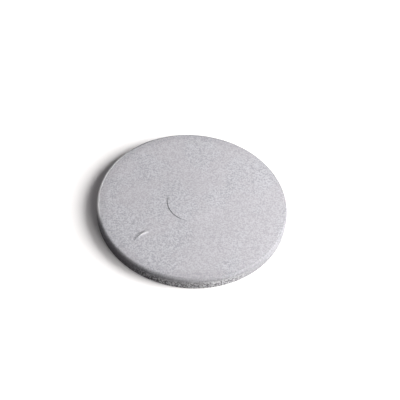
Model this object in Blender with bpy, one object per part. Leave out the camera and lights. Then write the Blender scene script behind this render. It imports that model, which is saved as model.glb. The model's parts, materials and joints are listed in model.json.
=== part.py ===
"""A flat eccentric-rotor vibration motor: a sealed steel coin with a half-moon rotor on a fixed shaft.

Lengths below are in millimetres and are turned into metres where a mesh is made. The origin is the
centre of the mounting adhesive's underside, +Z points to the cover, and at rest the counterweight's
middle lies along +Y.
"""

import math

import bmesh
import bpy
from mathutils import Matrix, Vector

MM = 0.001

# ---- driving dimensions, in millimetres ----

CASE_RADIUS = 10.0
FACE_HEIGHT = 1.46
SHEET = 0.15
SHOULDER_RADIUS = 0.34
BOSS_RADIUS = 2.63
BOSS_RISE = 0.055
ADHESIVE_RADIUS = 9.25
ADHESIVE_THICKNESS = 0.09
CASE_BOTTOM = 0.10

# a short bent ridge raised in the cover, in polar terms about the motor's axis
RIDGE_ARC_RADIUS = 1.6
RIDGE_WIDTH = 0.22
RIDGE_RISE = 0.05
RIDGE_ROOT = 0.03
RIDGE_CREST_SHARE = 0.3
RIDGE_END_SHARE = 0.35
RIDGE_SWEEP = math.radians(58)
RIDGE_DISTANCE = 6.55
RIDGE_BEARING = math.radians(-134.5)

# gaps between neighbours, and how far a cutter runs past the wall it cuts
RUNNING_GAP = 0.02
STACK_GAP = 0.01
FILM_GAP = 0.005
CUT_MARGIN = 0.2
EDGE_BREAK = 0.05

HUB_RADIUS = 0.95
HUB_TAPER = 0.05
HUB_TOP = 0.50

SHAFT_RADIUS = 0.50
WASHER_RADIUS = 0.95
WASHER_THICKNESS = 0.04

BEARING_RADIUS = 1.10
BEARING_BOTTOM = 0.56
BEARING_TOP = 1.255

FLEX_BOTTOM = 0.26
FLEX_THICKNESS = 0.05
FLEX_INNER_RADIUS = 1.10
FLEX_OUTER_RADIUS = 7.70
TAIL_WIDTH = 3.0
TAIL_THICKNESS = 0.04
TAIL_LAP = 0.5
TAIL_BEND = 0.03
TAIL_FOLD_X = -8.62
TAIL_END_X = -5.20
TAIL_LOW = 0.035
SLOT_INNER_X = -8.44
SLOT_OUTER_X = -8.84
SLOT_WIDTH = 3.4

PAD_LENGTH = 1.9
PAD_WIDTH = 1.15
PAD_THICKNESS = 0.015
PAD_SPACING = 1.5
WINDOW_INNER_X = -4.90
WINDOW_WIDTH = 3.6

GLUE_INNER_RADIUS = 3.60
GLUE_OUTER_RADIUS = 7.40
GLUE_THICKNESS = 0.025
MAGNET_INNER_RADIUS = 3.40
MAGNET_OUTER_RADIUS = 7.60
MAGNET_TOP = 0.66

BRUSH_LANE = 1.50
BRUSH_WIDTH = 0.60
BRUSH_THICKNESS = 0.045
BRUSH_FOOT_X = -2.60
BRUSH_RISE_X = -1.45
BRUSH_FORK_X = -0.10
BRUSH_CONTACT_X = 1.30
BRUSH_TIP_X = 1.55
BRUSH_LOW = 0.345
BRUSH_HIGH = 0.665
BRUSH_TIP_DIP = 0.10
FORK_GAP = 0.10
BRUSH_SOLDER_RADIUS = 0.30
BRUSH_SOLDER_HEIGHT = 0.07

BOARD_BOTTOM = 0.73
BOARD_THICKNESS = 0.10
ROTOR_RADIUS = 9.40
ROTOR_CUT_Y = -1.20
ROTOR_HUB_RADIUS = 2.70

SEGMENT_COUNT = 6
SEGMENT_INNER_RADIUS = 1.25
SEGMENT_OUTER_RADIUS = 2.45
SEGMENT_THICKNESS = 0.025
SEGMENT_GAP = 0.14

COIL_DISTANCE = 5.60
COIL_BEARING = math.radians(58)
COIL_RADIUS = 3.00
COIL_INNER_RADIUS = 1.10
COIL_BOTTOM = 0.915
COIL_TOP = 1.19

WEIGHT_INNER_RADIUS = 3.40
WEIGHT_OUTER_RADIUS = 9.20
WEIGHT_SPREAD = math.radians(76)
WEIGHT_COIL_CLEARANCE = 0.28
WEIGHT_TOP = 1.20

MOULDING_BOTTOM = 0.845
MOULDING_TOP = 1.21
POCKET_FLOOR = 0.905
POCKET_GAP = 0.03

COIL_SOLDER_RADIUS = 0.20
COIL_SOLDER_HEIGHT = 0.09
COIL_SOLDER_DISTANCE = 2.95
COIL_SOLDER_BEARINGS = (38, 66, 114, 142)

WELD_COUNT = 4
WELD_RADIUS = 0.22
WELD_HEIGHT = 0.035
WELD_INSET = 0.08
WELD_FIRST_BEARING = math.radians(45)

# ---- mesh resolution ----

CASE_STEPS = 72
PLATE_STEPS = 56
RING_STEPS = 48
COIL_STEPS = 36
HUB_STEPS = 28
DOT_STEPS = 12
DOT_RINGS = 3
RIDGE_STEPS = 8
BEND_STEPS = 4
SMOOTH_ANGLE = math.radians(32)


# ---- making objects ----


def material(name, colour, roughness, metallic=0.0):
    """A Principled material of one colour."""
    made = bpy.data.materials.new(name)
    made.use_nodes = True
    shader = made.node_tree.nodes["Principled BSDF"]
    shader.inputs["Base Color"].default_value = (*colour, 1.0)
    shader.inputs["Roughness"].default_value = roughness
    shader.inputs["Metallic"].default_value = metallic
    made.diffuse_color = (*colour, 1.0)
    return made


def add_object(name, mesh_bm, surface=None, parent=None):
    """Turn a bmesh in millimetres into a named object in metres, smooth where it is round."""
    bmesh.ops.recalc_face_normals(mesh_bm, faces=mesh_bm.faces)
    bmesh.ops.scale(mesh_bm, vec=(MM, MM, MM), verts=mesh_bm.verts)
    mesh = bpy.data.meshes.new(name)
    mesh_bm.to_mesh(mesh)
    mesh_bm.free()
    mesh.shade_smooth()
    mesh.set_sharp_from_angle(angle=SMOOTH_ANGLE)
    if surface:
        mesh.materials.append(surface)
    made = bpy.data.objects.new(name, mesh)
    bpy.context.scene.collection.objects.link(made)
    made.parent = parent
    return made


def boolean(target, other, operation):
    """Join or cut target with another object, which becomes a hidden guide."""
    other.hide_render = True
    other.display_type = "WIRE"
    step = target.modifiers.new(operation.lower() + "_" + other.name, "BOOLEAN")
    step.operation = operation
    step.solver = "EXACT"
    step.object = other


# ---- shapes, in millimetres ----


def on_circle(radius, angle):
    """The point at an angle on a circle about the origin."""
    return (radius * math.cos(angle), radius * math.sin(angle))


def arc(centre, radius, start, end, steps):
    """Points along an arc, both ends included."""
    turn = (end - start) / steps
    return [
        (centre[0] + radius * math.cos(start + turn * i), centre[1] + radius * math.sin(start + turn * i))
        for i in range(steps + 1)
    ]


def turned(profile, steps):
    """A closed outline of (radius, height) points turned about the Z axis. A zero radius is the axis."""
    bm = bmesh.new()
    rings = []
    for radius, height in profile:
        if radius == 0:
            rings.append([bm.verts.new((0, 0, height))])
            continue
        ring = [
            bm.verts.new((*on_circle(radius, math.tau * i / steps), height))
            for i in range(steps)
        ]
        rings.append(ring)
    for lower, upper in zip(rings, rings[1:] + rings[:1]):
        if len(lower) == 1 and len(upper) == 1:
            continue
        for i in range(steps):
            near = (lower[i % len(lower)], upper[i % len(upper)])
            far = (lower[(i + 1) % len(lower)], upper[(i + 1) % len(upper)])
            corners = [near[0], far[0], far[1], near[1]]
            bm.faces.new(list(dict.fromkeys(corners)))
    return bm


def tube(inner, outer, bottom, top, steps):
    """A plain ring with square edges."""
    return turned([(outer, bottom), (outer, top), (inner, top), (inner, bottom)], steps)


def cylinder(radius, bottom, top, steps):
    """A plain round bar."""
    return turned([(0, bottom), (radius, bottom), (radius, top), (0, top)], steps)


def prism(outline, bottom, top):
    """An outline in the XY plane raised from bottom to top."""
    bm = bmesh.new()
    face = bm.faces.new([bm.verts.new((x, y, bottom)) for x, y in outline])
    raised = bmesh.ops.extrude_face_region(bm, geom=[face])["geom"]
    moving = [item for item in raised if isinstance(item, bmesh.types.BMVert)]
    bmesh.ops.translate(bm, verts=moving, vec=(0, 0, top - bottom))
    return bm


def box(low, high):
    """A box between two corners."""
    outline = [(low[0], low[1]), (high[0], low[1]), (high[0], high[1]), (low[0], high[1])]
    return prism(outline, low[2], high[2])


def moved(bm, x=0.0, y=0.0, turn=0.0):
    """Turn a bmesh about Z, then move it."""
    place = Matrix.Translation(Vector((x, y, 0))) @ Matrix.Rotation(turn, 4, "Z")
    bmesh.ops.transform(bm, matrix=place, verts=bm.verts)
    return bm


def dot(radius, base, height):
    """A flat-bottomed solder dome. A negative height makes it hang from its base."""
    profile = [(0, base), (radius, base)]
    for ring in range(1, DOT_RINGS + 1):
        lift = 0.5 * math.pi * ring / DOT_RINGS
        profile.append((radius * math.cos(lift) if ring < DOT_RINGS else 0, base + height * math.sin(lift)))
    return turned(profile, DOT_STEPS)


def ring_sector(inner, outer, middle, spread, bottom, top, steps):
    """A flat sector of a ring, centred on the angle middle."""
    start = middle - spread / 2
    end = middle + spread / 2
    return prism(
        arc((0, 0), outer, start, end, steps) + arc((0, 0), inner, end, start, steps), bottom, top
    )


# ---- housing ----


def cover_profile():
    """The drawn cover's section: outside from the rim up to the axis, then back down the inside."""
    inner_shoulder = SHOULDER_RADIUS - SHEET
    centre = (CASE_RADIUS - SHOULDER_RADIUS, FACE_HEIGHT - SHOULDER_RADIUS)
    boss_top = FACE_HEIGHT + BOSS_RISE
    outside = [(CASE_RADIUS, CASE_BOTTOM)] + arc(centre, SHOULDER_RADIUS, 0, math.pi / 2, 5)
    outside += [(BOSS_RADIUS + BOSS_RISE, FACE_HEIGHT), (BOSS_RADIUS, boss_top), (0, boss_top)]
    inside = [
        (0, boss_top - SHEET),
        (BOSS_RADIUS - SHEET, boss_top - SHEET),
        (BOSS_RADIUS - SHEET + BOSS_RISE, FACE_HEIGHT - SHEET),
    ]
    inside += arc(centre, inner_shoulder, math.pi / 2, 0, 4)
    inside += [(CASE_RADIUS - SHEET, CASE_BOTTOM)]
    return outside + inside


def ridge_section(along):
    """The ridge's four corners at a share of its length, as (across, rise). It thins to both ends."""
    full = RIDGE_END_SHARE + (1 - RIDGE_END_SHARE) * math.sin(math.pi * along)
    half = 0.5 * RIDGE_WIDTH * full
    crest_half = RIDGE_CREST_SHARE * half
    crest = RIDGE_RISE * full
    return [(-half, -RIDGE_ROOT), (half, -RIDGE_ROOT), (crest_half, crest), (-crest_half, crest)]


def ridge_shape():
    """The bent ridge: a bar along an arc, sunk a little into the cover."""
    bm = bmesh.new()
    sections = []
    for i in range(RIDGE_STEPS + 1):
        along = i / RIDGE_STEPS
        angle = RIDGE_SWEEP * (along - 0.5)
        sections.append([
            bm.verts.new((*on_circle(RIDGE_ARC_RADIUS + across, angle), FACE_HEIGHT + rise))
            for across, rise in ridge_section(along)
        ])
    for near, far in zip(sections, sections[1:]):
        for k in range(4):
            bm.faces.new([near[k], near[(k + 1) % 4], far[(k + 1) % 4], far[k]])
    bm.faces.new(sections[0])
    bm.faces.new(sections[-1][::-1])
    moved(bm, x=-RIDGE_ARC_RADIUS)
    return moved(bm, *on_circle(RIDGE_DISTANCE, RIDGE_BEARING), turn=RIDGE_BEARING - math.pi / 2)


def make_top_cover(steel):
    """The drawn cup with its middle boss and the bent ridge."""
    cover = add_object("top_cover", turned(cover_profile(), CASE_STEPS), steel)
    boolean(cover, add_object("ridge_guide", ridge_shape(), steel), "UNION")


def make_base_plate(steel):
    """The plate that closes the cup, drawn up into a hub that grips the shaft."""
    bore = SHAFT_RADIUS + RUNNING_GAP
    radius = CASE_RADIUS - SHEET - RUNNING_GAP
    top = CASE_BOTTOM + SHEET
    profile = [
        (bore, CASE_BOTTOM),
        (radius, CASE_BOTTOM),
        (radius, top),
        (HUB_RADIUS, top),
        (HUB_RADIUS - HUB_TAPER, HUB_TOP),
        (bore, HUB_TOP),
    ]
    plate = add_object("base_plate", turned(profile, PLATE_STEPS), steel)
    half = SLOT_WIDTH / 2
    slot = box(
        (SLOT_OUTER_X, -half, CASE_BOTTOM - CUT_MARGIN), (SLOT_INNER_X, half, top + CUT_MARGIN)
    )
    boolean(plate, add_object("slot_cutter", slot), "DIFFERENCE")


def make_weld_spots(steel):
    """The small beads that join the cover's rim to the base plate."""
    distance = CASE_RADIUS - SHEET - WELD_INSET
    for i in range(WELD_COUNT):
        angle = WELD_FIRST_BEARING + math.tau * i / WELD_COUNT
        bead = dot(WELD_RADIUS, CASE_BOTTOM - STACK_GAP, -WELD_HEIGHT)
        add_object(f"weld_spot_{i + 1}", moved(bead, *on_circle(distance, angle)), steel)


def make_shaft_and_washers(steel, nylon):
    """The fixed shaft and the slip washer at each end of the bearing."""
    shaft_top = FACE_HEIGHT + BOSS_RISE - SHEET - RUNNING_GAP
    profile = [
        (0, CASE_BOTTOM),
        (SHAFT_RADIUS - EDGE_BREAK, CASE_BOTTOM),
        (SHAFT_RADIUS, CASE_BOTTOM + EDGE_BREAK),
        (SHAFT_RADIUS, shaft_top - EDGE_BREAK),
        (SHAFT_RADIUS - EDGE_BREAK, shaft_top),
        (0, shaft_top),
    ]
    add_object("shaft", turned(profile, HUB_STEPS), steel)
    lower = HUB_TOP + STACK_GAP
    upper = BEARING_TOP + STACK_GAP
    inner = SHAFT_RADIUS + RUNNING_GAP
    for name, bottom in (("lower_washer", lower), ("upper_washer", upper)):
        add_object(name, tube(inner, WASHER_RADIUS, bottom, bottom + WASHER_THICKNESS, HUB_STEPS), nylon)


def make_magnet(nickel, glue):
    """The ring magnet on its ring of glue."""
    glue_bottom = FLEX_BOTTOM + FLEX_THICKNESS + STACK_GAP
    glue_top = glue_bottom + GLUE_THICKNESS
    add_object(
        "magnet_adhesive",
        tube(GLUE_INNER_RADIUS, GLUE_OUTER_RADIUS, glue_bottom, glue_top, RING_STEPS),
        glue,
    )
    bottom = glue_top + STACK_GAP
    profile = [
        (MAGNET_OUTER_RADIUS - EDGE_BREAK, bottom),
        (MAGNET_OUTER_RADIUS, bottom + EDGE_BREAK),
        (MAGNET_OUTER_RADIUS, MAGNET_TOP - EDGE_BREAK),
        (MAGNET_OUTER_RADIUS - EDGE_BREAK, MAGNET_TOP),
        (MAGNET_INNER_RADIUS + EDGE_BREAK, MAGNET_TOP),
        (MAGNET_INNER_RADIUS, MAGNET_TOP - EDGE_BREAK),
        (MAGNET_INNER_RADIUS, bottom + EDGE_BREAK),
        (MAGNET_INNER_RADIUS + EDGE_BREAK, bottom),
    ]
    add_object("ring_magnet", turned(profile, RING_STEPS), nickel)


def tail_section():
    """The tail seen from its side: out over the plate, down through the slot and back underneath."""
    upper_top = FLEX_BOTTOM + (FLEX_THICKNESS + TAIL_THICKNESS) / 2
    outer_bend = TAIL_BEND + TAIL_THICKNESS
    upper_centre = (TAIL_FOLD_X + TAIL_BEND, upper_top - outer_bend)
    lower_centre = (TAIL_FOLD_X + TAIL_BEND, TAIL_LOW + outer_bend)
    start_x = TAIL_LAP - FLEX_OUTER_RADIUS
    down = math.pi / 2
    back = math.pi
    flat = 3 * math.pi / 2
    outside = [(start_x, upper_top)]
    outside += arc(upper_centre, outer_bend, down, back, BEND_STEPS)
    outside += arc(lower_centre, outer_bend, back, flat, BEND_STEPS)
    outside += [(TAIL_END_X, TAIL_LOW)]
    inside = [(TAIL_END_X, TAIL_LOW + TAIL_THICKNESS)]
    inside += arc(lower_centre, TAIL_BEND, flat, back, BEND_STEPS)
    inside += arc(upper_centre, TAIL_BEND, back, down, BEND_STEPS)
    inside += [(start_x, upper_top - TAIL_THICKNESS)]
    return outside + inside


def make_flex_circuit(polyimide, gold):
    """The ring of flexible circuit, its folded tail, and the two contact pads under the motor."""
    top = FLEX_BOTTOM + FLEX_THICKNESS
    flex = add_object(
        "flex_circuit", tube(FLEX_INNER_RADIUS, FLEX_OUTER_RADIUS, FLEX_BOTTOM, top, RING_STEPS), polyimide
    )
    tail = prism(tail_section(), -TAIL_WIDTH / 2, TAIL_WIDTH / 2)
    bmesh.ops.transform(tail, matrix=Matrix.Rotation(math.pi / 2, 4, "X"), verts=tail.verts)
    boolean(flex, add_object("tail_guide", tail), "UNION")
    pad_middle = (TAIL_END_X + TAIL_FOLD_X) / 2
    pad_top = TAIL_LOW - FILM_GAP
    for name, side in (("contact_pad_positive", 1), ("contact_pad_negative", -1)):
        middle_y = side * PAD_SPACING / 2
        pad = box(
            (pad_middle - PAD_LENGTH / 2, middle_y - PAD_WIDTH / 2, pad_top - PAD_THICKNESS),
            (pad_middle + PAD_LENGTH / 2, middle_y + PAD_WIDTH / 2, pad_top),
        )
        add_object(name, pad, gold)


def brush_height(x):
    """The middle of the leaf at a place along it: flat on its foot, a smooth rise, a dipped tip."""
    if x <= BRUSH_RISE_X:
        return BRUSH_LOW
    if x <= BRUSH_CONTACT_X:
        along = (x - BRUSH_RISE_X) / (BRUSH_CONTACT_X - BRUSH_RISE_X)
        return BRUSH_LOW + (BRUSH_HIGH - BRUSH_LOW) * math.sin(0.5 * math.pi * along)
    past = (x - BRUSH_CONTACT_X) / (BRUSH_TIP_X - BRUSH_CONTACT_X)
    return BRUSH_HIGH - BRUSH_TIP_DIP * past * past


def brush_leaf(lane):
    """A forked leaf spring as an open sheet, one strip of faces for each finger."""
    foot = [BRUSH_FOOT_X, (BRUSH_FOOT_X + BRUSH_RISE_X) / 2, BRUSH_RISE_X]
    root = [BRUSH_RISE_X + (BRUSH_FORK_X - BRUSH_RISE_X) * i / 3 for i in range(1, 4)]
    finger = [BRUSH_FORK_X + (BRUSH_CONTACT_X - BRUSH_FORK_X) * i / 4 for i in range(1, 5)]
    tip = [(BRUSH_CONTACT_X + BRUSH_TIP_X) / 2, BRUSH_TIP_X]
    stations = foot + root + finger + tip
    edges = [-BRUSH_WIDTH / 2, -FORK_GAP / 2, FORK_GAP / 2, BRUSH_WIDTH / 2]
    bm = bmesh.new()
    grid = [[bm.verts.new((x, lane + y, brush_height(x))) for y in edges] for x in stations]
    fork_start = stations.index(root[-1])
    for i in range(len(stations) - 1):
        for k in range(3):
            if k == 1 and i >= fork_start:
                continue
            bm.faces.new([grid[i][k], grid[i + 1][k], grid[i + 1][k + 1], grid[i][k + 1]])
    loose = [vert for vert in bm.verts if not vert.link_faces]
    bmesh.ops.delete(bm, geom=loose, context="VERTS")
    return bm


def make_brushes(copper, solder):
    """The two leaf brushes and the solder on their feet."""
    foot_middle = (BRUSH_FOOT_X + BRUSH_RISE_X) / 2
    solder_base = BRUSH_LOW + BRUSH_THICKNESS / 2 + STACK_GAP
    for pole, side in (("positive", 1), ("negative", -1)):
        lane = side * BRUSH_LANE
        leaf = add_object(f"brush_{pole}", brush_leaf(lane), copper)
        thick = leaf.modifiers.new("thickness", "SOLIDIFY")
        thick.thickness = BRUSH_THICKNESS * MM
        thick.offset = 0.0
        joint = moved(dot(BRUSH_SOLDER_RADIUS, solder_base, BRUSH_SOLDER_HEIGHT), foot_middle, lane)
        add_object(f"brush_solder_{pole}", joint, solder)


def make_mounting_adhesive(tape):
    """The die-cut adhesive disc, notched around the folded tail."""
    pad = add_object(
        "mounting_adhesive", cylinder(ADHESIVE_RADIUS, 0, ADHESIVE_THICKNESS, PLATE_STEPS), tape
    )
    half = WINDOW_WIDTH / 2
    window = box(
        (-CASE_RADIUS, -half, -CUT_MARGIN), (WINDOW_INNER_X, half, ADHESIVE_THICKNESS + CUT_MARGIN)
    )
    boolean(pad, add_object("window_cutter", window), "DIFFERENCE")


# ---- rotor ----


def half_moon():
    """The rotor's outline: a half disc cut straight below the axis, with a round hub."""
    cut = math.asin(ROTOR_CUT_Y / ROTOR_RADIUS)
    hub_cut = math.asin(ROTOR_CUT_Y / ROTOR_HUB_RADIUS)
    rim = arc((0, 0), ROTOR_RADIUS, cut, math.pi - cut, 40)
    hub = arc((0, 0), ROTOR_HUB_RADIUS, -math.pi - hub_cut, hub_cut, 12)
    return rim + hub


def coil_place(side):
    """A coil's centre. The left coil has side -1."""
    return (side * COIL_DISTANCE * math.sin(COIL_BEARING), COIL_DISTANCE * math.cos(COIL_BEARING))


def hub_cutter(name, bottom, top):
    """A round cutter for the bearing's seat, longer than the wall it cuts."""
    bore = cylinder(BEARING_RADIUS + RUNNING_GAP, bottom - CUT_MARGIN, top + CUT_MARGIN, HUB_STEPS)
    return add_object(name, bore)


def make_bearing(bronze, pivot):
    """The sleeve that turns on the shaft."""
    inner = SHAFT_RADIUS + RUNNING_GAP
    profile = [
        (inner, BEARING_BOTTOM),
        (BEARING_RADIUS - EDGE_BREAK, BEARING_BOTTOM),
        (BEARING_RADIUS, BEARING_BOTTOM + EDGE_BREAK),
        (BEARING_RADIUS, BEARING_TOP - EDGE_BREAK),
        (BEARING_RADIUS - EDGE_BREAK, BEARING_TOP),
        (inner, BEARING_TOP),
    ]
    add_object("bearing", turned(profile, HUB_STEPS), bronze, pivot)


def make_rotor_board(laminate, pivot):
    """The thin half-moon board that carries the commutator underneath."""
    top = BOARD_BOTTOM + BOARD_THICKNESS
    board = add_object("rotor_board", prism(half_moon(), BOARD_BOTTOM, top), laminate, pivot)
    boolean(board, hub_cutter("board_bore_cutter", BOARD_BOTTOM, top), "DIFFERENCE")


def make_commutator(gold, pivot):
    """Six plated segments under the board, with an equal gap between neighbours."""
    top = BOARD_BOTTOM - FILM_GAP
    bottom = top - SEGMENT_THICKNESS
    pitch = math.tau / SEGMENT_COUNT
    middle_radius = (SEGMENT_INNER_RADIUS + SEGMENT_OUTER_RADIUS) / 2
    spread = pitch - SEGMENT_GAP / middle_radius
    for i in range(SEGMENT_COUNT):
        plate = ring_sector(SEGMENT_INNER_RADIUS, SEGMENT_OUTER_RADIUS, pitch * i, spread, bottom, top, 6)
        add_object(f"commutator_segment_{i + 1}", plate, gold, pivot)


def make_coils(wire, pivot):
    """The two flat coils, wound side by side from fine enamelled wire."""
    profile = [
        (COIL_RADIUS - EDGE_BREAK, COIL_BOTTOM),
        (COIL_RADIUS, COIL_BOTTOM + EDGE_BREAK),
        (COIL_RADIUS, COIL_TOP - EDGE_BREAK),
        (COIL_RADIUS - EDGE_BREAK, COIL_TOP),
        (COIL_INNER_RADIUS, COIL_TOP),
        (COIL_INNER_RADIUS, COIL_BOTTOM),
    ]
    for name, side in (("coil_left", -1), ("coil_right", 1)):
        add_object(name, moved(turned(profile, COIL_STEPS), *coil_place(side)), wire, pivot)


def weight_shape(grow, bottom, top):
    """The counterweight's sector before the coils' room is cut from it."""
    spread = WEIGHT_SPREAD + 2 * grow / WEIGHT_OUTER_RADIUS
    inner = WEIGHT_INNER_RADIUS - grow
    return ring_sector(inner, WEIGHT_OUTER_RADIUS + grow, math.pi / 2, spread, bottom, top, 16)


def cut_coil_room(target, radius):
    """Hollow a shape where it passes the two coils."""
    for side in (-1, 1):
        room = cylinder(radius, POCKET_FLOOR - CUT_MARGIN, MOULDING_TOP + 2 * CUT_MARGIN, COIL_STEPS)
        cutter = add_object(target.name + "_room", moved(room, *coil_place(side)))
        boolean(target, cutter, "DIFFERENCE")


def make_counterweight(tungsten, pivot):
    """The heavy sector between the coils."""
    shape = weight_shape(0, POCKET_FLOOR + STACK_GAP, WEIGHT_TOP)
    weight = add_object("counterweight", shape, tungsten, pivot)
    cut_coil_room(weight, COIL_RADIUS + WEIGHT_COIL_CLEARANCE)


def weight_pocket():
    """The cutter for the counterweight's pocket: the weight's own shape with room all round."""
    shape = weight_shape(POCKET_GAP, POCKET_FLOOR, MOULDING_TOP + CUT_MARGIN)
    pocket = add_object("weight_pocket", shape)
    cut_coil_room(pocket, COIL_RADIUS + WEIGHT_COIL_CLEARANCE - POCKET_GAP)
    return pocket


def make_rotor_moulding(resin, pivot):
    """The resin that binds the rotor, open on top over the coils and the weight."""
    moulding = add_object("rotor_moulding", prism(half_moon(), MOULDING_BOTTOM, MOULDING_TOP), resin, pivot)
    boolean(moulding, hub_cutter("moulding_bore_cutter", MOULDING_BOTTOM, MOULDING_TOP), "DIFFERENCE")
    inner = COIL_INNER_RADIUS - POCKET_GAP
    outer = COIL_RADIUS + POCKET_GAP
    for side in (-1, 1):
        room = tube(inner, outer, POCKET_FLOOR, MOULDING_TOP + CUT_MARGIN, COIL_STEPS)
        cutter = add_object("coil_pocket", moved(room, *coil_place(side)))
        boolean(moulding, cutter, "DIFFERENCE")
    boolean(moulding, weight_pocket(), "DIFFERENCE")


def make_coil_solder(solder, pivot):
    """The beads under the board where the four coil ends are soldered."""
    for i, bearing in enumerate(COIL_SOLDER_BEARINGS):
        bead = dot(COIL_SOLDER_RADIUS, BOARD_BOTTOM - STACK_GAP, -COIL_SOLDER_HEIGHT)
        moved(bead, *on_circle(COIL_SOLDER_DISTANCE, math.radians(bearing)))
        add_object(f"coil_solder_{i + 1}", bead, solder, pivot)


# ---- the whole motor ----


def clear_scene():
    """Remove whatever the file already holds."""
    for item in list(bpy.data.objects):
        bpy.data.objects.remove(item, do_unlink=True)


def make_housing():
    """Everything that stands still."""
    cover_steel = material("cover_steel", (0.62, 0.61, 0.64), 0.45, 0.6)
    plate_steel = material("plate_steel", (0.55, 0.55, 0.56), 0.38, 0.9)
    shaft_steel = material("shaft_steel", (0.60, 0.60, 0.61), 0.18, 1.0)
    nylon = material("washer_film", (0.88, 0.86, 0.80), 0.50)
    nickel = material("magnet_nickel", (0.56, 0.54, 0.50), 0.28, 1.0)
    glue = material("epoxy", (0.75, 0.66, 0.42), 0.35)
    polyimide = material("polyimide", (0.55, 0.24, 0.04), 0.35)
    gold = material("contact_gold", (0.85, 0.62, 0.24), 0.25, 1.0)
    spring_copper = material("brush_copper", (0.80, 0.50, 0.30), 0.28, 1.0)
    solder = material("solder", (0.66, 0.66, 0.67), 0.30, 0.9)
    tape = material("adhesive_film", (0.80, 0.79, 0.74), 0.60)
    make_top_cover(cover_steel)
    make_base_plate(plate_steel)
    make_weld_spots(plate_steel)
    make_shaft_and_washers(shaft_steel, nylon)
    make_magnet(nickel, glue)
    make_flex_circuit(polyimide, gold)
    make_brushes(spring_copper, solder)
    make_mounting_adhesive(tape)


def make_rotor():
    """Everything that turns, on an empty at the joint's axis."""
    pivot = bpy.data.objects.new("rotor_pivot", None)
    bpy.context.scene.collection.objects.link(pivot)
    make_bearing(material("sintered_bronze", (0.60, 0.44, 0.25), 0.50, 0.9), pivot)
    make_rotor_board(material("board_laminate", (0.10, 0.30, 0.14), 0.45), pivot)
    make_commutator(material("commutator_gold", (0.85, 0.62, 0.24), 0.22, 1.0), pivot)
    make_coils(material("coil_wire", (0.70, 0.32, 0.14), 0.35, 0.8), pivot)
    make_counterweight(material("tungsten", (0.36, 0.36, 0.38), 0.42, 1.0), pivot)
    make_rotor_moulding(material("moulding_resin", (0.05, 0.05, 0.055), 0.50), pivot)
    make_coil_solder(material("coil_end_solder", (0.66, 0.66, 0.67), 0.30, 0.9), pivot)


clear_scene()
make_housing()
make_rotor()
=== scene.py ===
"""How a flat vibration coin motor looks: its matt drawn cover, its underside, and the works inside."""

import json
import math

import bmesh
import bpy
from mathutils import Matrix, Vector


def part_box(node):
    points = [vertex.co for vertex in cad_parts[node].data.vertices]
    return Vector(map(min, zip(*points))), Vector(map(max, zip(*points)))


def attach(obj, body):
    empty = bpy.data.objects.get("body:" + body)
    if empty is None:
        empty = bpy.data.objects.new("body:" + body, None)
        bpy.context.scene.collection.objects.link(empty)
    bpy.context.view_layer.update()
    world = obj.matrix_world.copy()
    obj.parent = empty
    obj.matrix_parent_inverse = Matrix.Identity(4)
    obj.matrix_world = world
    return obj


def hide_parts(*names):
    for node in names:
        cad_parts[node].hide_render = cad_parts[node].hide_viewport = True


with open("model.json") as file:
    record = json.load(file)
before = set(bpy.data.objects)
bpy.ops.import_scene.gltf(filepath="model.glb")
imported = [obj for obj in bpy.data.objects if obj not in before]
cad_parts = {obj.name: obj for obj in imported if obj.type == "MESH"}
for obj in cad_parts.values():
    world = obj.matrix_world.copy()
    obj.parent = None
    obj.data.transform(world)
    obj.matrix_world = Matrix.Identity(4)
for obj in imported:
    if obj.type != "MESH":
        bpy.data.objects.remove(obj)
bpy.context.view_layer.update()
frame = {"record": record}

MM = 0.001

# ---- what the frame says ----

MOUNTS = {m["name"]: m for m in frame["record"]["mounts"]}
COVER_LOW, COVER_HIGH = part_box("top_cover")
CASE_RADIUS = COVER_HIGH.x
RIM_HEIGHT = COVER_LOW.z
FACE_HEIGHT = MOUNTS["cover_face"]["pos_m"][2]
BOSS_HEIGHT = COVER_HIGH.z

# ---- the camera, at the photograph's viewing angle ----

CAMERA_DISTANCE = 9.0 * CASE_RADIUS
CAMERA_ELEVATION = math.radians(49.7)
CAMERA_ROLL = math.radians(4.75)
CAMERA_LENS = 77.4
CAMERA_SENSOR = 36.0
CAMERA_SHIFT = (0.0190, 0.0045)
CAMERA_SEES = (0.001, 10.0)
FLOOR_HALF = 1500.0

# ---- lights: angles in degrees, azimuth 0 at the camera's side and 90 at +X ----

KEY_AZIMUTH = 87
KEY_ELEVATION = 32
KEY_DISTANCE = 0.09
KEY_SIZE = 0.075
KEY_POWER = 0.206
KEY_COLOUR = (1.0, 0.985, 0.975)
EVEN_KEY_AZIMUTH = 53
EVEN_KEY_STRENGTH = 2.0
EVEN_KEY_SPREAD = math.radians(44)
EVEN_KEY_DISTANCE = 0.5
RIM_AZIMUTH = 235
RIM_ELEVATION = 24
RIM_DISTANCE = 0.25
RIM_SIZE = 0.10
RIM_POWER = 0.065
FILL_COLOUR = (1.0, 0.93, 0.97)
FILL_STRENGTH = 0.085

# ---- the cover's own dimensions, in millimetres ----

SHEET = 0.15
SHOULDER_RADIUS = 0.34
BOSS_RADIUS = 2.63
BOSS_STEP = 0.03
BOSS_SOFT_STEP = 0.95
BOSS_CRISP_BEARING = math.radians(-140)
BOSS_CRISP_SPREAD = math.radians(66)
BOSS_CRISP_SHARE = 0.55
BOSS_RINGS = 12
BOSS_TOP_RADII = (0.5, 1.0, 1.4)
BOSS_CLEAR = 1.2
WALL_HEIGHTS = (0.9, 0.6, 0.35)
RIM_BREAK = 0.03
INNER_RIM_BREAK = 0.02

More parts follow.
